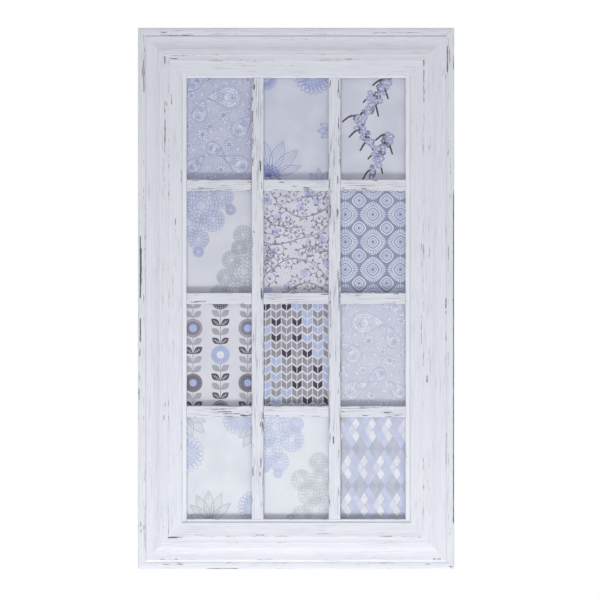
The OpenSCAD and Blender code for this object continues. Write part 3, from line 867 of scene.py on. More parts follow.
bars = [
    lattice_bar("lattice_stile_left", True, 0.9, ease_low=False),
    lattice_bar("lattice_stile_right", True, 2.9, ease_high=False),
    lattice_bar("lattice_rail_top", False, 4.1, ease_high=False),
    lattice_bar("lattice_rail_bottom", False, 5.3, ease_low=False),
]
bars += [lattice_bar(f"mullion_{side}", True, 6.1 + len(side)) for side in ("left", "right")]
bars += [lattice_bar(f"transom_r{row}_c{column}", False, 3.3 * row + 1.9 * column)
         for row in ROWS[:-1] for column in COLUMNS]
print(f"{len(bars)} lattice bars")

# %% [markdown]
# ## Drawing tools for the prints
#
# The twelve prints are ordinary printed papers: patterns and line flowers in pale blue, lavender
# and grey. Each is drawn in millimetres from its middle, X to the right and Z up. There are two
# ways to leave ink: fill an outline, or draw along a line. Both end up as flat pieces that are cut
# at the sheet's edges. Most motifs are small outlines, turned and set in a wreath.

# %% Placing outlines
sheet_low, sheet_high = box_mm("print_r1_c1")
SHEET_HALF = ((sheet_high[0] - sheet_low[0]) / 2, (sheet_high[2] - sheet_low[2]) / 2)


def moved(points, at=(0.0, 0.0), turn=0.0, flip=1):
    """Points turned by some degrees, mirrored if flip is -1, and moved to a place."""
    c, s = math.cos(math.radians(turn)), math.sin(math.radians(turn))
    return [(at[0] + flip * (x * c - z * s), at[1] + x * s + z * c) for x, z in points]


def wreath(outline, count, reach, at, turn=0.0):
    """Copies of an outline all round a place, each pushed out from it by a reach."""
    out = [(x + reach, z) for x, z in outline]
    return [moved(out, at, turn + 360 * i / count) for i in range(count)]


print(f"sheet {2 * SHEET_HALF[0]:.1f} x {2 * SHEET_HALF[1]:.1f} mm")

# %% [markdown]
# Round outlines all come from one helper, which walks round the origin and asks how far out each
# point lies. Leaves, drops, curls and free curves have their own rules.

# %% Outlines and curves
SQUARENESS = 1.45


def round_line(count, reach):
    """A closed line round the origin. reach is a function of a point's number and its angle."""
    made = []
    for i in range(count):
        angle = 2 * math.pi * i / count
        made.append((reach(i, angle) * math.cos(angle), reach(i, angle) * math.sin(angle)))
    return made


def ring(radius, count=28):
    """A round outline."""
    return round_line(count, lambda i, angle: radius)


def scallops(radius, count, depth):
    """A round line of small bows, with four points to a bow."""
    return round_line(4 * count, lambda i, angle: radius + depth * abs(math.sin(math.pi * i / 4)))


def diamond(radius, count=48):
    """A rounded square that stands on its corner."""
    def reach(i, angle):
        c, s = abs(math.cos(angle)), abs(math.sin(angle))
        return radius / (c ** SQUARENESS + s ** SQUARENESS) ** (1 / SQUARENESS)

    return round_line(count, reach)


def smooth(points, steps=8):
    """A curve through the given points."""
    ends = [points[0]] + list(points) + [points[-1]]
    made = []
    for p0, p1, p2, p3 in zip(ends, ends[1:], ends[2:], ends[3:]):
        for i in range(steps):
            t = i / steps
            made.append(tuple(
                0.5 * (2 * b + (c - a) * t + (2 * a - 5 * b + 4 * c - d) * t ** 2
                       + (3 * b - a - 3 * c + d) * t ** 3)
                for a, b, c, d in zip(p0, p1, p2, p3)))
    return made + [points[-1]]


def curl(radius, start, turns, count=22, hand=1):
    """A spiral that starts on a circle round the origin and winds inward."""
    made = []
    for i in range(count + 1):
        t = i / count
        angle = math.radians(start) + hand * 2 * math.pi * turns * t
        reach = radius * (1 - t) ** 0.8 + 0.1 * radius
        made.append((reach * math.cos(angle), reach * math.sin(angle)))
    return made


def leaf(length, width, count=9, blunt=1.0):
    """A pointed leaf from the origin along X. A blunt below 1 makes its tip rounder."""
    steps = [i / count for i in range(count + 1)]
    upper = [(length * t, width / 2 * math.sin(math.pi * t ** blunt)) for t in steps]
    return upper + [(x, -z) for x, z in upper[-2:0:-1]]


def teardrop(length, width, count=34):
    """A paisley drop: round at the origin, with a tip that bends over."""
    made = []
    for i in range(count):
        t = 2 * math.pi * i / count
        x = -math.cos(t) * length / 2
        z = math.sin(t) * (1 - 0.75 * (x / length + 0.5)) * width / 1.55
        made.append((x + 0.12 * length, z + 0.32 * width * max(0.0, x / length + 0.1) ** 2 * 2))
    return made


print(f"a ring has {len(ring(1))} points, a small lace rim {len(scallops(1, 10, 0.1))}")

# %% [markdown]
# Ink is a thin solid layer here, a few hundredths of a millimetre, so that it is real geometry and
# each colour is a piece of its own. A line becomes a ribbon of four-sided pieces. Pieces that lie
# across the sheet's edge are cut there. Every mark gets a slightly different height, because two
# faces at exactly the same height would cast shadows on each other.

# %% Ink and paper
SPREAD = 0.618
MARK_LIFT = 0.021
POINT_LIFT = 0.004
SMALLEST = 0.004


def clipped(outline):
    """What of an outline lies on the sheet."""
    for axis, limit in enumerate(SHEET_HALF):
        for sign in (1, -1):
            kept = []
            for before, here in zip([outline[-1]] + outline[:-1], outline):
                a, b = limit - sign * before[axis], limit - sign * here[axis]
                if (a >= 0) != (b >= 0):
                    t = a / (a - b)
                    kept.append(tuple(p + (q - p) * t for p, q in zip(before, here)))
                if b >= 0:
                    kept.append(here)
            outline = kept
            if not outline:
                return []
    return outline


class Ink:
    """All marks of one colour on one print."""

    def __init__(self):
        self.marks = []

    def fill(self, outline):
        """An outline filled with ink."""
        self.marks.append([list(outline)])

    def line(self, points, width=0.5, closed=False, taper=0.0):
        """A line of some width. With taper it gets thinner towards its end."""
        line = [points[0]]
        line += [q for p, q in zip(points, points[1:]) if math.dist(p, q) > 0.02]
        line += [line[0]] if closed else []
        last = len(line) - 1
        edges = []
        for i, (x, z) in enumerate(line):
            before = line[i - 1] if i else (line[-2] if closed else line[0])
            after = line[i + 1] if i < last else (line[1] if closed else line[-1])
            dx, dz = after[0] - before[0], after[1] - before[1]
            reach = width / 2 * (1 - taper * i / last) / (math.hypot(dx, dz) or 1)
            edges.append(((x - dz * reach, z + dx * reach), (x + dz * reach, z - dx * reach)))
        self.marks.append([[a[0], a[1], b[1], b[0]] for a, b in zip(edges, edges[1:])])

    def solid(self, name, middle, front, back):
        """The ink as a closed mesh between two depths behind the glass."""
        points, faces = [], []
        for number, mark in enumerate(self.marks):
            lift = (number * SPREAD % 1) * MARK_LIFT
            found, outlines = {}, []
            for outline in mark:
                keys = [(round(x, 3), round(z, 3)) for x, z in clipped(outline)]
                keys = [k for i, k in enumerate(keys) if k != keys[i - 1]]
                turn = sum(a[0] * b[1] - b[0] * a[1] for a, b in zip(keys, keys[1:] + keys[:1]))
                if len(set(keys)) > 2 and abs(turn) >= SMALLEST:
                    outlines.append(keys if turn > 0 else keys[::-1])
            for key in sorted({k for keys in outlines for k in keys}):
                found[key] = len(points)
                x, z = middle[0] + key[0], middle[1] + key[1]
                top = front - lift - ((key[0] * 3.7 + key[1] * 2.3) % 1) * POINT_LIFT
                points += [(x * MM, top * MM, z * MM), (x * MM, back * MM, z * MM)]
            inner = {(a, b) for keys in outlines for a, b in zip(keys, keys[1:] + keys[:1])}
            for keys in outlines:
                upper = [found[k] for k in keys]
                faces += [upper, [i + 1 for i in reversed(upper)]]
                for a, b in zip(keys, keys[1:] + keys[:1]):
                    if (b, a) not in inner:
                        faces.append([found[a], found[a] + 1, found[b] + 1, found[b]])
        return new_piece(name, points, faces)


print("ink and paper ready")

# %% [markdown]
# The photograph's colours hold both the print and the light on it, and the lower prints get more
# light. A colour read off the picture is therefore divided by the share and the tint of the light
# in its row. The paper is slightly clouded and has a fine tooth. The ink varies a little, as an
# inkjet's does.

# %% Paper and ink finishes
ROW_LIGHT = {1: 0.79, 2: 0.84, 3: 0.87, 4: 0.92}
LIGHT_TINT = (0.985, 1.015, 1.03)
PAPER_DEPTH = 0.06
INK_STEP = 0.03
INK_LIGHTER = 1.06
PAPER_CLOUD = 0.03
INK_CLOUD = 0.012
WHITEST = 0.93
INK_ROOT = 0.01


def printed(row, colour):
    """The colour of the print itself, from how it looks in the picture."""
    light = [ROW_LIGHT[row] * tint for tint in LIGHT_TINT]
    return (*(min(WHITEST, part / share) for part, share in zip(shade(*colour), light)), 1.0)


def mottled(name, first, second, size):
    """A matt finish that wanders between two colours, with patches of some size in metres."""
    finish = Finish(name, Roughness=0.62, Specular_IOR_Level=0.25)
    place = finish.stretched(finish.place(), (1 / size, 1 / size, 1 / size))
    cloud = finish.noise(place, detail=3.0).step(0.35, 0.65)
    speckle = finish.noise(finish.place(), scale=1400.0, detail=1.0).step(0.3, 0.7) * 0.16
    finish.set("Base Color", finish.mix(cloud * 0.84 + speckle, first, second))
    return finish.material


def lay_print(row, column, ground, clouded, inks):
    """One print: its sheet of paper in two tones, and its inks as {name: (colour, Ink)}."""
    node = f"print_r{row}_c{column}"
    back = box_mm(node)[1][1]
    x, _, z = middle_mm(node)
    wide, tall = SHEET_HALF
    paper = Ink()
    paper.fill([(-wide, -tall), (wide, -tall), (wide, tall), (-wide, tall)])
    sheet = paper.solid(f"paper_r{row}_c{column}", (x, z), back - PAPER_DEPTH, back)
    tones = (printed(row, ground), printed(row, clouded))
    sheet.data.materials.append(mottled(f"paper_{row}_{column}", *tones, PAPER_CLOUD))
    pieces = [sheet]
    for level, (name, (colour, ink)) in enumerate(inks.items(), 1):
        face = back - PAPER_DEPTH - level * INK_STEP
        piece = ink.solid(f"ink_r{row}_c{column}_{name}", (x, z), face,
                          back - PAPER_DEPTH + INK_ROOT)
        lighter = tuple(min(255, v * INK_LIGHTER) for v in colour)
        tones = (printed(row, colour), printed(row, lighter))
        piece.data.materials.append(mottled(f"ink_{row}_{column}_{name}", *tones, INK_CLOUD))
        pieces.append(piece)
    for piece in pieces:
        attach(piece, "frame")
        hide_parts(node)
    print(f"{node}: {len(inks)} inks, {sum(len(p.data.polygons) for p in pieces)} faces")


for row in ROW_LIGHT:
    own = [round(part, 2) for part in printed(row, (205, 206, 218))[:3]]
    print(f"off-white as it is seen in row {row} is {own} on the sheet itself")

# %% [markdown]
# ## Flowers and lace
#
# Several prints share the same kinds of motif, so these come first: a chrysanthemum built from
# rings of petals, a lotus of veined leaves, a round lace medallion, and a blossom with five petals.

# %% Shared motifs
def chrysanthemum(ink, at, radius, width, rings):
    """A flower of pointed petals in rings, drawn in outline, the outer ones larger."""
    for number in range(rings):
        reach = radius * (1 - 0.17 * number)
        count = 22 - 3 * number
        petal = leaf(reach * 0.44, reach * 0.24, 7, 1.15)
        for outline in wreath(petal, count, reach * 0.56, at, 180 * (number % 2) / count):
            ink.line(outline, width, closed=True)
    ink.line(moved(ring(radius * 0.12, 12), at), width, closed=True)


def veined(ink, at, turn, length, width, line):
    """A leaf in outline with three veins from its root to its tip."""
    ink.line(moved(leaf(length, width, 12), at, turn), line, closed=True)
    for side in (-1, 0, 1):
        lean = side * width * 0.27
        vein = smooth([(0.06 * length, 0), (0.5 * length, lean), (0.93 * length, 0)], 6)
        ink.line(moved(vein, at, turn), line * 0.75, taper=0.5)


def lotus(ink, at, size, turns, line):
    """Veined petals that open like a fan from one root."""
    for turn, length, width in turns:
        veined(ink, at, turn, length * size, width * size, line)


def lace(ink, at, radius, line):
    """A round lace medallion: scalloped rings, loops and dots."""
    for share, count, depth in ((1.0, 16, 0.09), (0.78, 14, 0.07), (0.5, 10, 0.07), (0.26, 6, 0.1)):
        ink.line(moved(scallops(radius * share, count, radius * depth), at), line, closed=True)
    loops = wreath(ring(radius * 0.055, 8), 16, radius * 0.88, at)
    petals = wreath(leaf(radius * 0.22, radius * 0.13, 6), 12, radius * 0.53, at)
    for outline in loops + petals:
        ink.line(outline, line * 0.8, closed=True)
    for dot in wreath(ring(radius * 0.04, 7), 8, radius * 0.37, at):
        ink.fill(dot)


def blossom(petals, heart, at, radius, turn):
    """A small flower: five round petals and a light heart."""
    for petal in wreath(ring(radius * 0.42, 10), 5, radius * 0.55, at, turn):
        petals.fill(petal)
    heart.fill(moved(ring(radius * 0.2, 8), at))


print("motifs ready")

# %% [markdown]
# ## Paisley papers
#
# Two prints are old-fashioned paisley, in lines hardly darker than the paper: bent drops with
# scalloped rims, flowers between them, and small leaves that fill the rest. One is lavender blue,
# and the other is the same sort of paper, paler and turned round.

# %% Paisley papers
def paisley(ink, light, at, turn, length, flip, line):
    """One bent drop with inner drops, a beaded rim and a flower inside, on a lighter ground."""
    light.fill(moved(teardrop(length, length * 0.72), at, turn, flip=flip))
    for share in (1.0, 0.84, 0.62, 0.4):
        inner = teardrop(length * share, length * share * 0.72)
        drop = moved(inner, (0.03 * length * (1 - share), 0))
        ink.line(moved(drop, at, turn, flip=flip), line, closed=True)
    for x, z in teardrop(length * 0.92, length * 0.66, 44):
        ink.fill(moved(moved(ring(length * 0.018, 6), (x, z)), at, turn, flip=flip))
    heart = moved([(-0.14 * length, 0)], at, turn, flip=flip)[0]
    for petal in wreath(leaf(length * 0.15, length * 0.07, 5), 7, 0, heart):
        ink.line(petal, line, closed=True)
    for i in range(9):
        stalk = smooth([(0.1 * length, 0), (0.25 * length, 0.06 * length), (0.33 * length, 0)], 4)
        ink.line(moved(stalk, at, turn + 8 * (i - 4), flip=flip), line * 0.7)


def paisley_field(ink, light, drops, sprigs, flip, line):
    """Drops and sprigs over a ground of small curls."""
    for i in range(-4, 5):
        for j in range(-6, 7):
            place = (13 * i + 6.5 * (j % 2), 13 * j)
            ink.line(moved(curl(5.2, 47 * (i + 2 * j), 0.9, 12), place), line * 0.8, taper=0.3)
            light.fill(moved(leaf(6.0, 2.6, 5, 1.3), place, 71 * (i - j)))
    for number, at in enumerate(sprigs):
        place = (flip * at[0], at[1])
        petal = leaf(6.5 + 1.5 * (number % 3), 3.4, 7, 1.3)
        for outline in wreath(petal, 7 + number % 3, 0, place, 11 * number):
            light.fill(outline)
            ink.line(outline, line, closed=True)
        ink.line(moved(ring(2.2), place), line, closed=True)
    for at, turn, length, hand in drops:
        paisley(ink, light, (flip * at[0], at[1]), turn, length, hand * flip, line)


DROPS = [
    ((12, 46), 165, 50, 1), ((30, 2), 120, 38, -1), ((-28, 22), 60, 34, 1),
    ((-8, -28), 200, 30, -1), ((-36, -52), 30, 32, 1), ((28, -50), 140, 40, 1),
    ((-34, 66), 300, 30, -1),
]
SPRIGS = [(-14, 4), (-40, 48), (6, 20), (42, 28), (14, -22), (-24, -8), (-44, -24), (2, -58),
          (46, -22), (-14, 72), (40, 70), (-16, -70), (46, -72), (-46, 4)]
PAISLEY_LINE = 0.72
PAISLEYS = (
    (1, 1, 1, (176, 179, 202), (186, 188, 208), (193, 196, 214), (144, 149, 184)),
    (3, 3, -1, (195, 198, 216), (202, 205, 222), (210, 212, 227), (173, 177, 201)),
)
for row, column, flip, ground, clouded, light, dark in PAISLEYS:
    drop_lines, drop_ground = Ink(), Ink()
    paisley_field(drop_lines, drop_ground, DROPS, SPRIGS, flip, PAISLEY_LINE)
    lay_print(row, column, ground, clouded,
              {"ground": (light, drop_ground), "line": (dark, drop_lines)})

# %% [markdown]
# ## Papers with line flowers
#
# Two prints carry flowers in thin blue and grey lines round an empty middle. The flowers run off
# the sheet, as they do on gift paper.

# %% Papers with line flowers
line_blue, deep_blue = Ink(), Ink()
chrysanthemum(line_blue, (25, 76), 27, 0.95, 5)
chrysanthemum(line_blue, (-44, 72), 17, 0.8, 4)
lotus(line_blue, (-38, -66), 1.0, [(100, 52, 17), (68, 54, 18), (42, 56, 17), (128, 50, 17),
                                   (16, 48, 13)], 0.9)
lotus(line_blue, (52, -2), 0.62, [(150, 34, 14), (182, 36, 15), (212, 32, 14)], 0.85)
for turn in range(0, 180, 20):
    deep_blue.line(moved(leaf(19, 5.5, 7), (-40, -68), turn - 10), 0.9, closed=True)
    deep_blue.line(moved([(2, 0), (17, 0)], (-40, -68), turn - 10), 0.6)
lotus(line_blue, (34, -80), 0.6, [(60, 38, 13), (95, 42, 14), (130, 38, 13)], 0.8)
lay_print(1, 2, (188, 190, 206), (196, 198, 214),
          {"line": ((132, 142, 190), line_blue), "deep": ((104, 112, 164), deep_blue)})

pale_blue, leaf_grey = Ink(), Ink()
chrysanthemum(pale_blue, (28, 72), 25, 0.85, 5)
chrysanthemum(pale_blue, (-50, 20), 29, 0.85, 5)
chrysanthemum(pale_blue, (50, -56), 24, 0.85, 5)
lotus(leaf_grey, (-48, 76), 1.0, [(-20, 30, 13), (-45, 38, 14), (-75, 34, 13)], 0.8)
lotus(leaf_grey, (52, 60), 1.0, [(215, 30, 12), (240, 36, 13), (265, 34, 12)], 0.8)
lotus(leaf_grey, (-14, -76), 1.0, [(140, 36, 12), (117, 42, 14), (92, 44, 14), (66, 44, 13),
                                   (40, 40, 12), (164, 30, 10)], 0.85)
lay_print(4, 1, (215, 218, 229), (224, 226, 236),
          {"leaf": ((163, 171, 180), leaf_grey), "line": ((176, 185, 216), pale_blue)})

# %% [markdown]
# ## Blossom twigs
#
# One print shows lilac blossom on short dark twigs against a plain lavender grey. The blossom is a
# crowd of small five-petalled flowers along a bent stem, with a few leaves of the same soft blue.

# %% Blossom twigs
TWIGS = ((0.06, 20, 7), (0.24, 10, 15), (0.42, 19, 9), (0.62, 9, 18), (0.82, 15, 12))
lilac, cream, twig, shadow = Ink(), Ink(), Ink(), Ink()
chance = np.random.default_rng(13)


def sprig(stem, spread, count):
    """Blossom along a stem, crowded in its middle, with twigs that stand out to both sides."""
    path = smooth(stem, 10)
    shadow.line(path, 1.1, taper=0.5)
    for i in range(count):
        share = (i + 0.5) / count
        x, z = path[min(len(path) - 1, int(share * len(path)))]
        reach = spread * math.sin(math.pi * min(1, share * 0.9 + 0.12))
        x += float(chance.uniform(-reach, reach))
        z += float(chance.uniform(-4, 4))
        petals = shadow if i % 2 == 0 else lilac
        blossom(petals, cream, (x, z), float(chance.uniform(3.1, 5.0)), 31 * i)
    for i, (share, out, fall) in enumerate(TWIGS):
        x, z = path[int(share * len(path))]
        side = 1 if i % 2 else -1
        bent = [(-side * 3, 1), (side * out * 0.45, 2 - fall * 0.12), (side * out, -fall)]
        twig.line(moved(smooth(bent, 5), (x, z)), 3.4, taper=0.35)
        lilac.line(moved(leaf(9, 3.4, 7), (x, z), 90 - side * 55), 0.5, closed=True)


sprig([(20, 70), (8, 52), (-2, 34), (-14, 14)], 11.0, 54)
sprig([(-24, 18), (-18, 2), (-8, -14), (0, -22)], 6.0, 24)
sprig([(24, -8), (15, -28), (4, -48), (-2, -70)], 9.5, 46)
lay_print(1, 3, (190, 192, 208), (200, 201, 216),
          {"shadow": ((112, 113, 140), shadow), "twig": ((70, 64, 70), twig),
           "lilac": ((150, 152, 186), lilac), "cream": ((208, 208, 222), cream)})

# %% [markdown]
# ## Lace papers
#
# Two more prints have lace medallions in opposite corners, blue above and grey below, with bare
# paper between them.

# %% Lace papers
def half_way(first, second):
    """A colour on the way between two, nearer to the second."""
    return tuple(round(0.25 * a + 0.75 * b) for a, b in zip(first, second))


def lace_corner(ink, tint, middles, line):
    """Medallions that crowd in a corner, each on its own tinted ground."""
    for x, z, radius in middles:
        tint.fill(moved(scallops(radius, 16, radius * 0.09), (x, z)))
        lace(ink, (x, z), radius, line)


LACE_PAPERS = (
    (2, 1, (200, 202, 216), (207, 208, 220),
     (152, 157, 192), [(-48, 66, 18), (4, 64, 15), (-10, 32, 16), (-44, 28, 19), (-26, 52, 23),
                       (-30, 4, 14), (-30, -14, 7), (16, 46, 7)],
     (152, 156, 167), [(34, 10, 13), (48, -10, 16), (18, -26, 13), (8, -50, 11), (0, -74, 12),
                       (50, -70, 18), (24, -70, 17), (36, -42, 20), (28, -8, 10)]),
    (4, 2, (218, 221, 231), (224, 226, 236),
     (180, 187, 215), [(-48, 44, 16), (0, 62, 10), (-46, 4, 10), (-24, 8, 13), (-6, 40, 16),
                       (-38, 26, 17), (-30, 58, 21), (-26, -8, 6)],
     (182, 188, 196), [(32, 8, 13), (46, -36, 15), (8, -18, 14), (46, -72, 14), (8, -68, 13),
                       (34, -18, 14), (28, -60, 17), (20, -38, 16), (-8, -74, 7)]),
)
for row, column, ground, clouded, blue, blue_places, grey, grey_places in LACE_PAPERS:
    upper, lower, blue_tint, grey_tint = Ink(), Ink(), Ink(), Ink()
    lace_corner(upper, blue_tint, blue_places, 0.85)
    lace_corner(lower, grey_tint, grey_places, 0.8)
    lay_print(row, column, ground, clouded,
              {"blue_tint": (half_way(blue, ground), blue_tint),
               "grey_tint": (half_way(grey, ground), grey_tint),
               "blue": (blue, upper), "grey": (grey, lower)})

# %% [markdown]
# ## Scrolling vines
#
# One print is covered with scrolls in grey mauve on nearly white paper. Three stems swing across
# it. Tendrils leave them to both sides in turn, end in a curl, and carry small leaves. A few pale
# blue flowers sit in the gaps.

# %% Scrolling vines
mauve, sky, umber = Ink(), Ink(), Ink()
SEEDS = 130
SEED_FIELD = (50, 76)


def tendril(at, turn, radius, hand):
    """A stalk that bends away and winds up, with leaves on its back."""
    spiral = moved(curl(radius, 180, 1.35, 30, hand), (radius * 1.1, 0))
    mauve.line(moved(spiral, at, turn), 1.15, taper=0.4)
    mauve.fill(moved(moved(ring(radius * 0.2, 9), (radius * 1.1, 0)), at, turn))
    for share in (1, 4, 7, 10, 13, 17):
        x, z = spiral[share]
        away = math.degrees(math.atan2(z, x - radius * 1.1))
        small = moved(leaf(radius * 0.62, radius * 0.27, 7), (x, z), away + hand * 35)
        umber.fill(moved(small, at, turn))


def vine(stem, radius, first_hand):
    """A stem through some points, with tendrils to both sides in turn."""
    path = smooth(stem, 12)
    umber.line(path, 1.5, taper=0.5)
    step = max(4, int(radius * 0.8))
    for number, i in enumerate(range(3, len(path) - 2, step)):
        (x0, z0), (x1, z1) = path[i - 1], path[i + 1]
        way = math.degrees(math.atan2(z1 - z0, x1 - x0))
        hand = first_hand if number % 2 else -first_hand
        tendril(path[i], way + hand * 42, radius * (1 - 0.12 * (number % 3)), hand)


for stem, radius, hand in (
    ([(-52, -58), (-34, -38), (-8, -24), (22, -30), (46, -52)], 10.5, 1),
    ([(54, 60), (34, 42), (4, 36), (-20, 50), (-40, 74)], 10.5, 1),
    ([(-54, 4), (-30, -4), (2, 4), (30, 12), (54, 32)], 10.5, -1),
    ([(-20, -80), (0, -62), (26, -60), (54, -78)], 9, 1),
    ([(-52, 46), (-40, 30), (-22, 22), (4, 20)], 8, -1),
    ([(54, -4), (40, -14), (26, -10)], 8, 1),
    ([(-50, -34), (-40, -22), (-44, -8)], 7, 1),
    ([(50, 80), (24, 66), (0, 62)], 8, -1),
):
    vine(stem, radius, hand)
for x, z in ((18, 68), (30, 58), (-40, 58), (-26, 34), (-30, 14), (-34, -14), (44, -30), (12, -44),
             (-40, -70), (36, 4), (6, 50), (-12, -64)):
    for petal in wreath(leaf(7.0, 4.6, 6, 1.3), 6, 0, (x, z), 7 * x):
        sky.fill(petal)
for _ in range(SEEDS):
    x, z = (float(chance.uniform(-half, half)) for half in SEED_FIELD)
    mauve.fill(moved(ring(0.8, 6), (x, z)))
lay_print(2, 2, (202, 202, 216), (209, 208, 222),
          {"sky": ((172, 177, 208), sky), "mauve": ((138, 137, 156), mauve),
           "umber": ((124, 121, 142), umber)})

# %% [markdown]
# ## Tile pattern
#
# One print is a tile pattern in white on slate blue: large rounded diamonds with a wreath of rays,
# in rows, and smaller ones in the gaps.

# %% Tile pattern
rays, pale_tile, white_ring, slate_ring, centre_dots = (Ink() for _ in range(5))
TILE = 39.3
LARGE = 17.8
SMALL = 10.2


def tile(at, size):
    """A rounded diamond with rays round it, rings in light and slate, and a dot."""
    if size == LARGE:
        for inner, outer in zip(diamond(size * 0.74, 40), diamond(size * 1.05, 40)):
            rays.line(moved([inner, outer], at), 1.35)
        pale_tile.fill(moved(diamond(size * 0.64), at))
        light, slate, beads = ((0.64, 1.3), (0.38, 0.9), (0.22, 0.8)), (0.50, 0.29), (0.56, 20)
    else:
        pale_tile.fill(moved(diamond(size * 0.96), at))
        light, slate, beads = ((0.93, 1.3), (0.55, 0.9), (0.34, 0.8)), (0.72, 0.42), (0.82, 14)
    for share, width in light:
        white_ring.line(moved(diamond(size * share), at), width, closed=True)
    for share in slate:
        slate_ring.line(moved(diamond(size * share), at), 0.9, closed=True)
    for bead in wreath(ring(0.6, 6), beads[1], size * beads[0] * 0.86, at):
        slate_ring.fill(bead)
    centre_dots.fill(moved(ring(1.2 + size * 0.06, 14), at))


for i in range(-2, 3):
    for j in range(-3, 4):
        tile((i * TILE, j * TILE), LARGE)
        tile(((i + 0.5) * TILE, (j + 0.5) * TILE), SMALL)
lay_print(2, 3, (132, 139, 174), (138, 145, 179),
          {"rays": ((210, 213, 235), rays), "tile": ((170, 176, 204), pale_tile),
           "slate": ((136, 142, 177), slate_ring), "ring": ((210, 213, 235), white_ring),
           "dot": ((130, 137, 172), centre_dots)})

# %% [markdown]
# ## Folk flowers
#
# A simple folk pattern: stems with paired leaves and round heads, in plum, grey and light blue on
# off-white. The stems stand in a half drop, so that heads and leaves alternate between them.

# %% Folk flowers
plum, stone, light_blue, taupe, stalk, white_dots, middles = (Ink() for _ in range(7))
LEAF_TURN = 38
STEM_STEP = 78
STEMS = ((-37.5, 38), (1.5, 0), (40.5, 38))


def folk_head(at, outer, spots):
    """A round head: a broad ring, a light middle, and wreaths of small leaves and spots."""
    outer.fill(moved(ring(13.2, 40), at))
    marks = wreath(leaf(3.4, 1.15, 4), 24, 9.6, at)
    for mark in marks + (wreath(ring(0.8, 7), 16, 7.8, at) if spots else []):
        white_dots.fill(mark)
    middle = white_dots if outer is light_blue else middles
    middle.fill(moved(ring(5.6, 26), at))
    stone.fill(moved(ring(1.3, 12), at))


def leaf_pair(at, ink, size):
    """Two leaves that stand up from a stem to both sides. The plum ones have light veins."""
    ribs = [[(x * size, 0), ((x + 2.3) * size, lean * 2.2 * size)]
            for x in (4, 6.5, 9) for lean in (1, -1)]
    for side in (1, -1):
        ink.fill(moved(leaf(16.5 * size, 9.2 * size, 10, 1.18), at, LEAF_TURN, side))
        if ink is plum:
            white_dots.line(moved([(2, 0), (13.5 * size, 0)], at, LEAF_TURN, side), 0.5)
            for rib in ribs:
                white_dots.line(moved(rib, at, LEAF_TURN, side), 0.35)


for column_x, drop in STEMS:
    stalk.line([(column_x, -78), (column_x, 78)], 0.8)
    for number in range(-2, 3):
        head_z = number * STEM_STEP + drop
        outer = (light_blue, plum, taupe)[(number + (2 if drop else 0)) % 3]
        for fall, ink, size in ((24, stone, 0.95), (37, plum, 1.0), (50, stone, 0.95),
                                (63, stone if drop else plum, 0.9)):
            leaf_pair((column_x, head_z - fall), ink, size)
        folk_head((column_x, head_z), outer, outer is not taupe)
lay_print(3, 1, (205, 206, 218), (211, 211, 223),
          {"stalk": ((128, 127, 140), stalk), "stone": ((157, 159, 168), stone),
           "plum": ((66, 60, 76), plum), "taupe": ((126, 120, 138), taupe),
           "blue": ((146, 159, 203), light_blue), "white": ((205, 205, 218), white_dots),
           "middle": ((160, 173, 212), middles)})

# %% [markdown]
# ## Chevrons
#
# Six columns of leaf-like chevrons, each made of two slanted blocks with a thin light gap. Most are
# taupe, and blue and plum ones are strewn among them. The order follows a small rule, so it never
# looks like stripes.

# %% Chevrons
chevrons = {"taupe": ((138, 137, 147), Ink()), "blue": ((163, 175, 210), Ink()),
            "plum": ((58, 51, 67), Ink())}
CHEVRON_ROWS = 15
CHEVRON_STEP = (14.85, 11.2)
FIRST_CHEVRON = (1.2, 79.5)
HALF_CHEVRON = [(0.55, -5.6), (6.75, -0.9), (6.75, 7.5), (0.55, 2.8)]
for column in range(-3, 4):
    for row in range(CHEVRON_ROWS):
        at = (FIRST_CHEVRON[0] + CHEVRON_STEP[0] * column,
              FIRST_CHEVRON[1] - CHEVRON_STEP[1] * row)
        pick = (row * 5 + column * 3 + row // 5 * 3) % 13
        kind = "plum" if pick in (2, 9) else "blue" if pick in (0, 5, 11) else "taupe"
        for side in (1, -1):
            chevrons[kind][1].fill(moved(HALF_CHEVRON, at, flip=side))
lay_print(3, 2, (206, 205, 219), (212, 211, 225), chevrons)

# %% [markdown]
# ## Harlequin
#
# Small diamonds in diagonal rows. Threes of white stand like a bent arrow, fours of grey make a
# larger diamond between them, and light blue and lilac fill the rest. Every diamond is a little
# smaller than its place, so that the paper shows as a fine line between them.

# %% Harlequin
DIAMOND = (5.83, 8.9)
DIAMOND_GAP = (0.25, 0.38)
FIRST_DIAMOND = (-12.4, 0.4)
harlequin = {"sky": ((188, 195, 219), Ink()), "lilac": ((194, 194, 219), Ink()),
             "grey": ((184, 185, 201), Ink()), "deep": ((174, 178, 199), Ink()),
             "milk": ((206, 208, 224), Ink()), "white": ((218, 219, 231), Ink()),
             "line": ((203, 205, 220), Ink())}


def diamond_kind(i, j):
    """The colour of the diamond in column i and row j. The upper threes stand half a step aside."""
    row = j % 6
    column = (i + 2 if j > 3 else i) % 4
    if row in (0, 1, 5) and column == (3 if row == 0 else 0):
        return "milk" if row == 0 else "white"
    if row == 3:
        return "deep"
    if row in (2, 4) and i % 4 == 3:
        return "grey"
    return "lilac" if (i // 2 + j) % 3 == 0 else "sky"


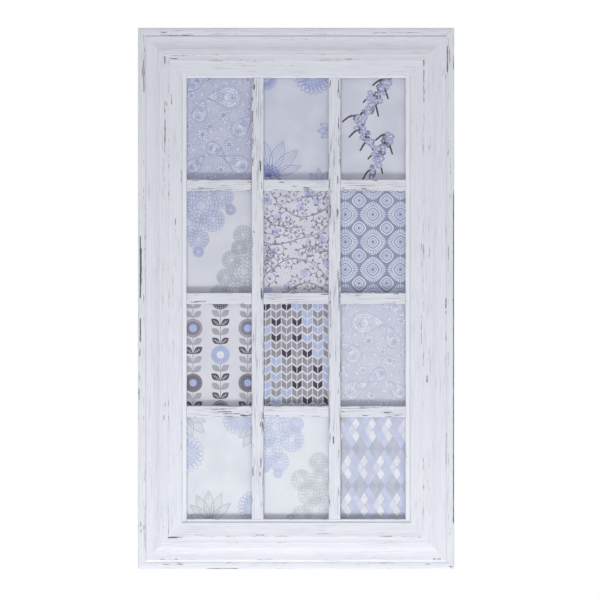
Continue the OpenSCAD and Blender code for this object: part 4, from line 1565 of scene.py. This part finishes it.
wide, tall = (half - gap for half, gap in zip(DIAMOND, DIAMOND_GAP))
outline = [(-wide, 0), (0, -tall), (wide, 0), (0, tall)]
inner = [(u * 0.55, v * 0.55) for u, v in outline]
for i in range(-8, 13):
    for j in range(-9, 10):
        if (i + j) % 2:
            at = (FIRST_DIAMOND[0] + DIAMOND[0] * i, FIRST_DIAMOND[1] + DIAMOND[1] * j)
            kind = diamond_kind(i, j)
            harlequin[kind][1].fill(moved(outline, at))
            if kind in ("white", "milk"):
                harlequin["line"][1].line(moved(inner, at), 0.5, closed=True)
lay_print(4, 3, (176, 183, 208), (184, 190, 213), harlequin)

# %% [markdown]
# ## Glass
#
# A plain pane lies over the prints. Straight on it is nearly invisible: it takes a trace of colour
# out of the dark inks, and only when it is seen at a slant does it mirror the room. So the light
# passes straight through, and a share that grows with the slant is a mirror with faint smears.

# %% Glass
GLASS_IOR = 1.42
MIRROR_SHARE = 0.45
pane = Finish("picture_glass", Metallic=1.0, Base_Color=(0.93, 0.97, 0.98, 1.0))
smear = pane.noise(pane.stretched(pane.place(), (9, 9, 22)), detail=3.0)
pane.set("Roughness", 0.02 + smear.step(0.45, 0.8) * 0.06)
slant = pane.node("Fresnel", {}, {"IOR": GLASS_IOR})
outer = 1 - pane.node("NewGeometry", {}, {}, out="Backfacing")
clear = pane.node("BsdfTransparent", {}, {"Color": (0.985, 0.992, 0.99, 1.0)})
mirror = Value(pane, pane.shader.outputs[0])
pane.show(pane.node("MixShader", {}, {0: slant * outer * MIRROR_SHARE, 1: clear, 2: mirror}))


def repaint(node, material):
    """Gives a CAD piece a finish. Its mesh stays as it is."""
    mesh = NODES[node].data
    mesh.materials.clear()
    mesh.materials.append(material)


repaint("glass", pane.material)
print("glass done")

# %% [markdown]
# ## The back
#
# Nothing of the back shows in the picture, so it is what such frames have. A hardboard panel with a
# smooth brown face lies in the rebate, over a grey card. Blackened turn buttons hold it. Their
# screws and the angle nails are bright steel, the hanger plates are zinc plated, and two rubber
# pads keep the lower corners off the wall.

# %% Board and card
def board(name, light, dark, fibre, rough):
    """Pressed fibres: short strands in all directions and a few darker flecks."""
    finish = Finish(name, Specular_IOR_Level=0.3)
    place = finish.place()
    strands = finish.noise(finish.stretched(place, (fibre, fibre, fibre * 0.6)), detail=4.0)
    mottled = finish.noise(place, scale=fibre * 0.12, detail=3.0)
    flecks = finish.noise(place, scale=fibre * 1.8, detail=1.0).step(0.62, 0.72)
    tone = finish.mix((strands * 0.6 + mottled * 0.4).step(0.3, 0.7), dark, light)
    finish.set("Base Color", finish.mix(flecks * 0.5, tone, dark))
    finish.set("Roughness", rough + strands * 0.15)
    finish.bump(strands, 0.0002, 0.4)
    return finish.material


repaint("back_board", board("hardboard", shade(146, 109, 76), shade(118, 84, 57), 560, 0.5))
repaint("mounting_card", board("greyboard", shade(178, 172, 160), shade(148, 142, 132), 620, 0.8))
print("board and card finished")

# %% [markdown]
# Metal this small shows two things: fine lines from rolling or brushing, and a slightly uneven
# reflection, where plating is thicker or oil has stayed.

# %% Metal and rubber
def metal(name, bright, dull, rough, lines, metallic=1.0):
    """Rolled sheet or wire, with fine lines along X and a cloudy plating."""
    finish = Finish(name, Metallic=metallic)
    place = finish.place()
    brushed = finish.noise(finish.stretched(place, (120, 900, lines)), detail=2.0)
    cloud = finish.noise(place, scale=210.0, detail=3.0).step(0.35, 0.65)
    finish.set("Base Color", finish.mix(cloud * 0.6 + brushed * 0.3, dull, bright))
    finish.set("Roughness", rough + cloud * 0.1 + brushed * 0.08)
    finish.bump(brushed, 0.00005, 0.35)
    return finish.material


blackened = metal("blackened_steel", shade(78, 78, 82), shade(46, 46, 50), 0.38, 2200, 0.85)
bright = metal("bright_steel", shade(205, 206, 208), shade(160, 162, 165), 0.25, 1800)
zinc = metal("zinc_plate", shade(196, 199, 204), shade(150, 154, 162), 0.3, 3000)
for name in NODES:
    if name in ("turn_button_screws", "hanger_screws", "corner_nails"):
        repaint(name, bright)
    elif name.startswith("turn_button_"):
        repaint(name, blackened)
    elif name.startswith("hanger_plate_"):
        repaint(name, zinc)

rubber = Finish("pad_rubber", Specular_IOR_Level=0.35)
skin = rubber.noise(rubber.place(), scale=900.0, detail=2.0)
rubber.set("Base Color", rubber.mix(skin, shade(40, 40, 42), shade(58, 58, 60)))
rubber.set("Roughness", 0.7 + skin * 0.2)
rubber.bump(skin, 0.0002, 0.5)
repaint("wall_pads", rubber.material)
print("back finished")
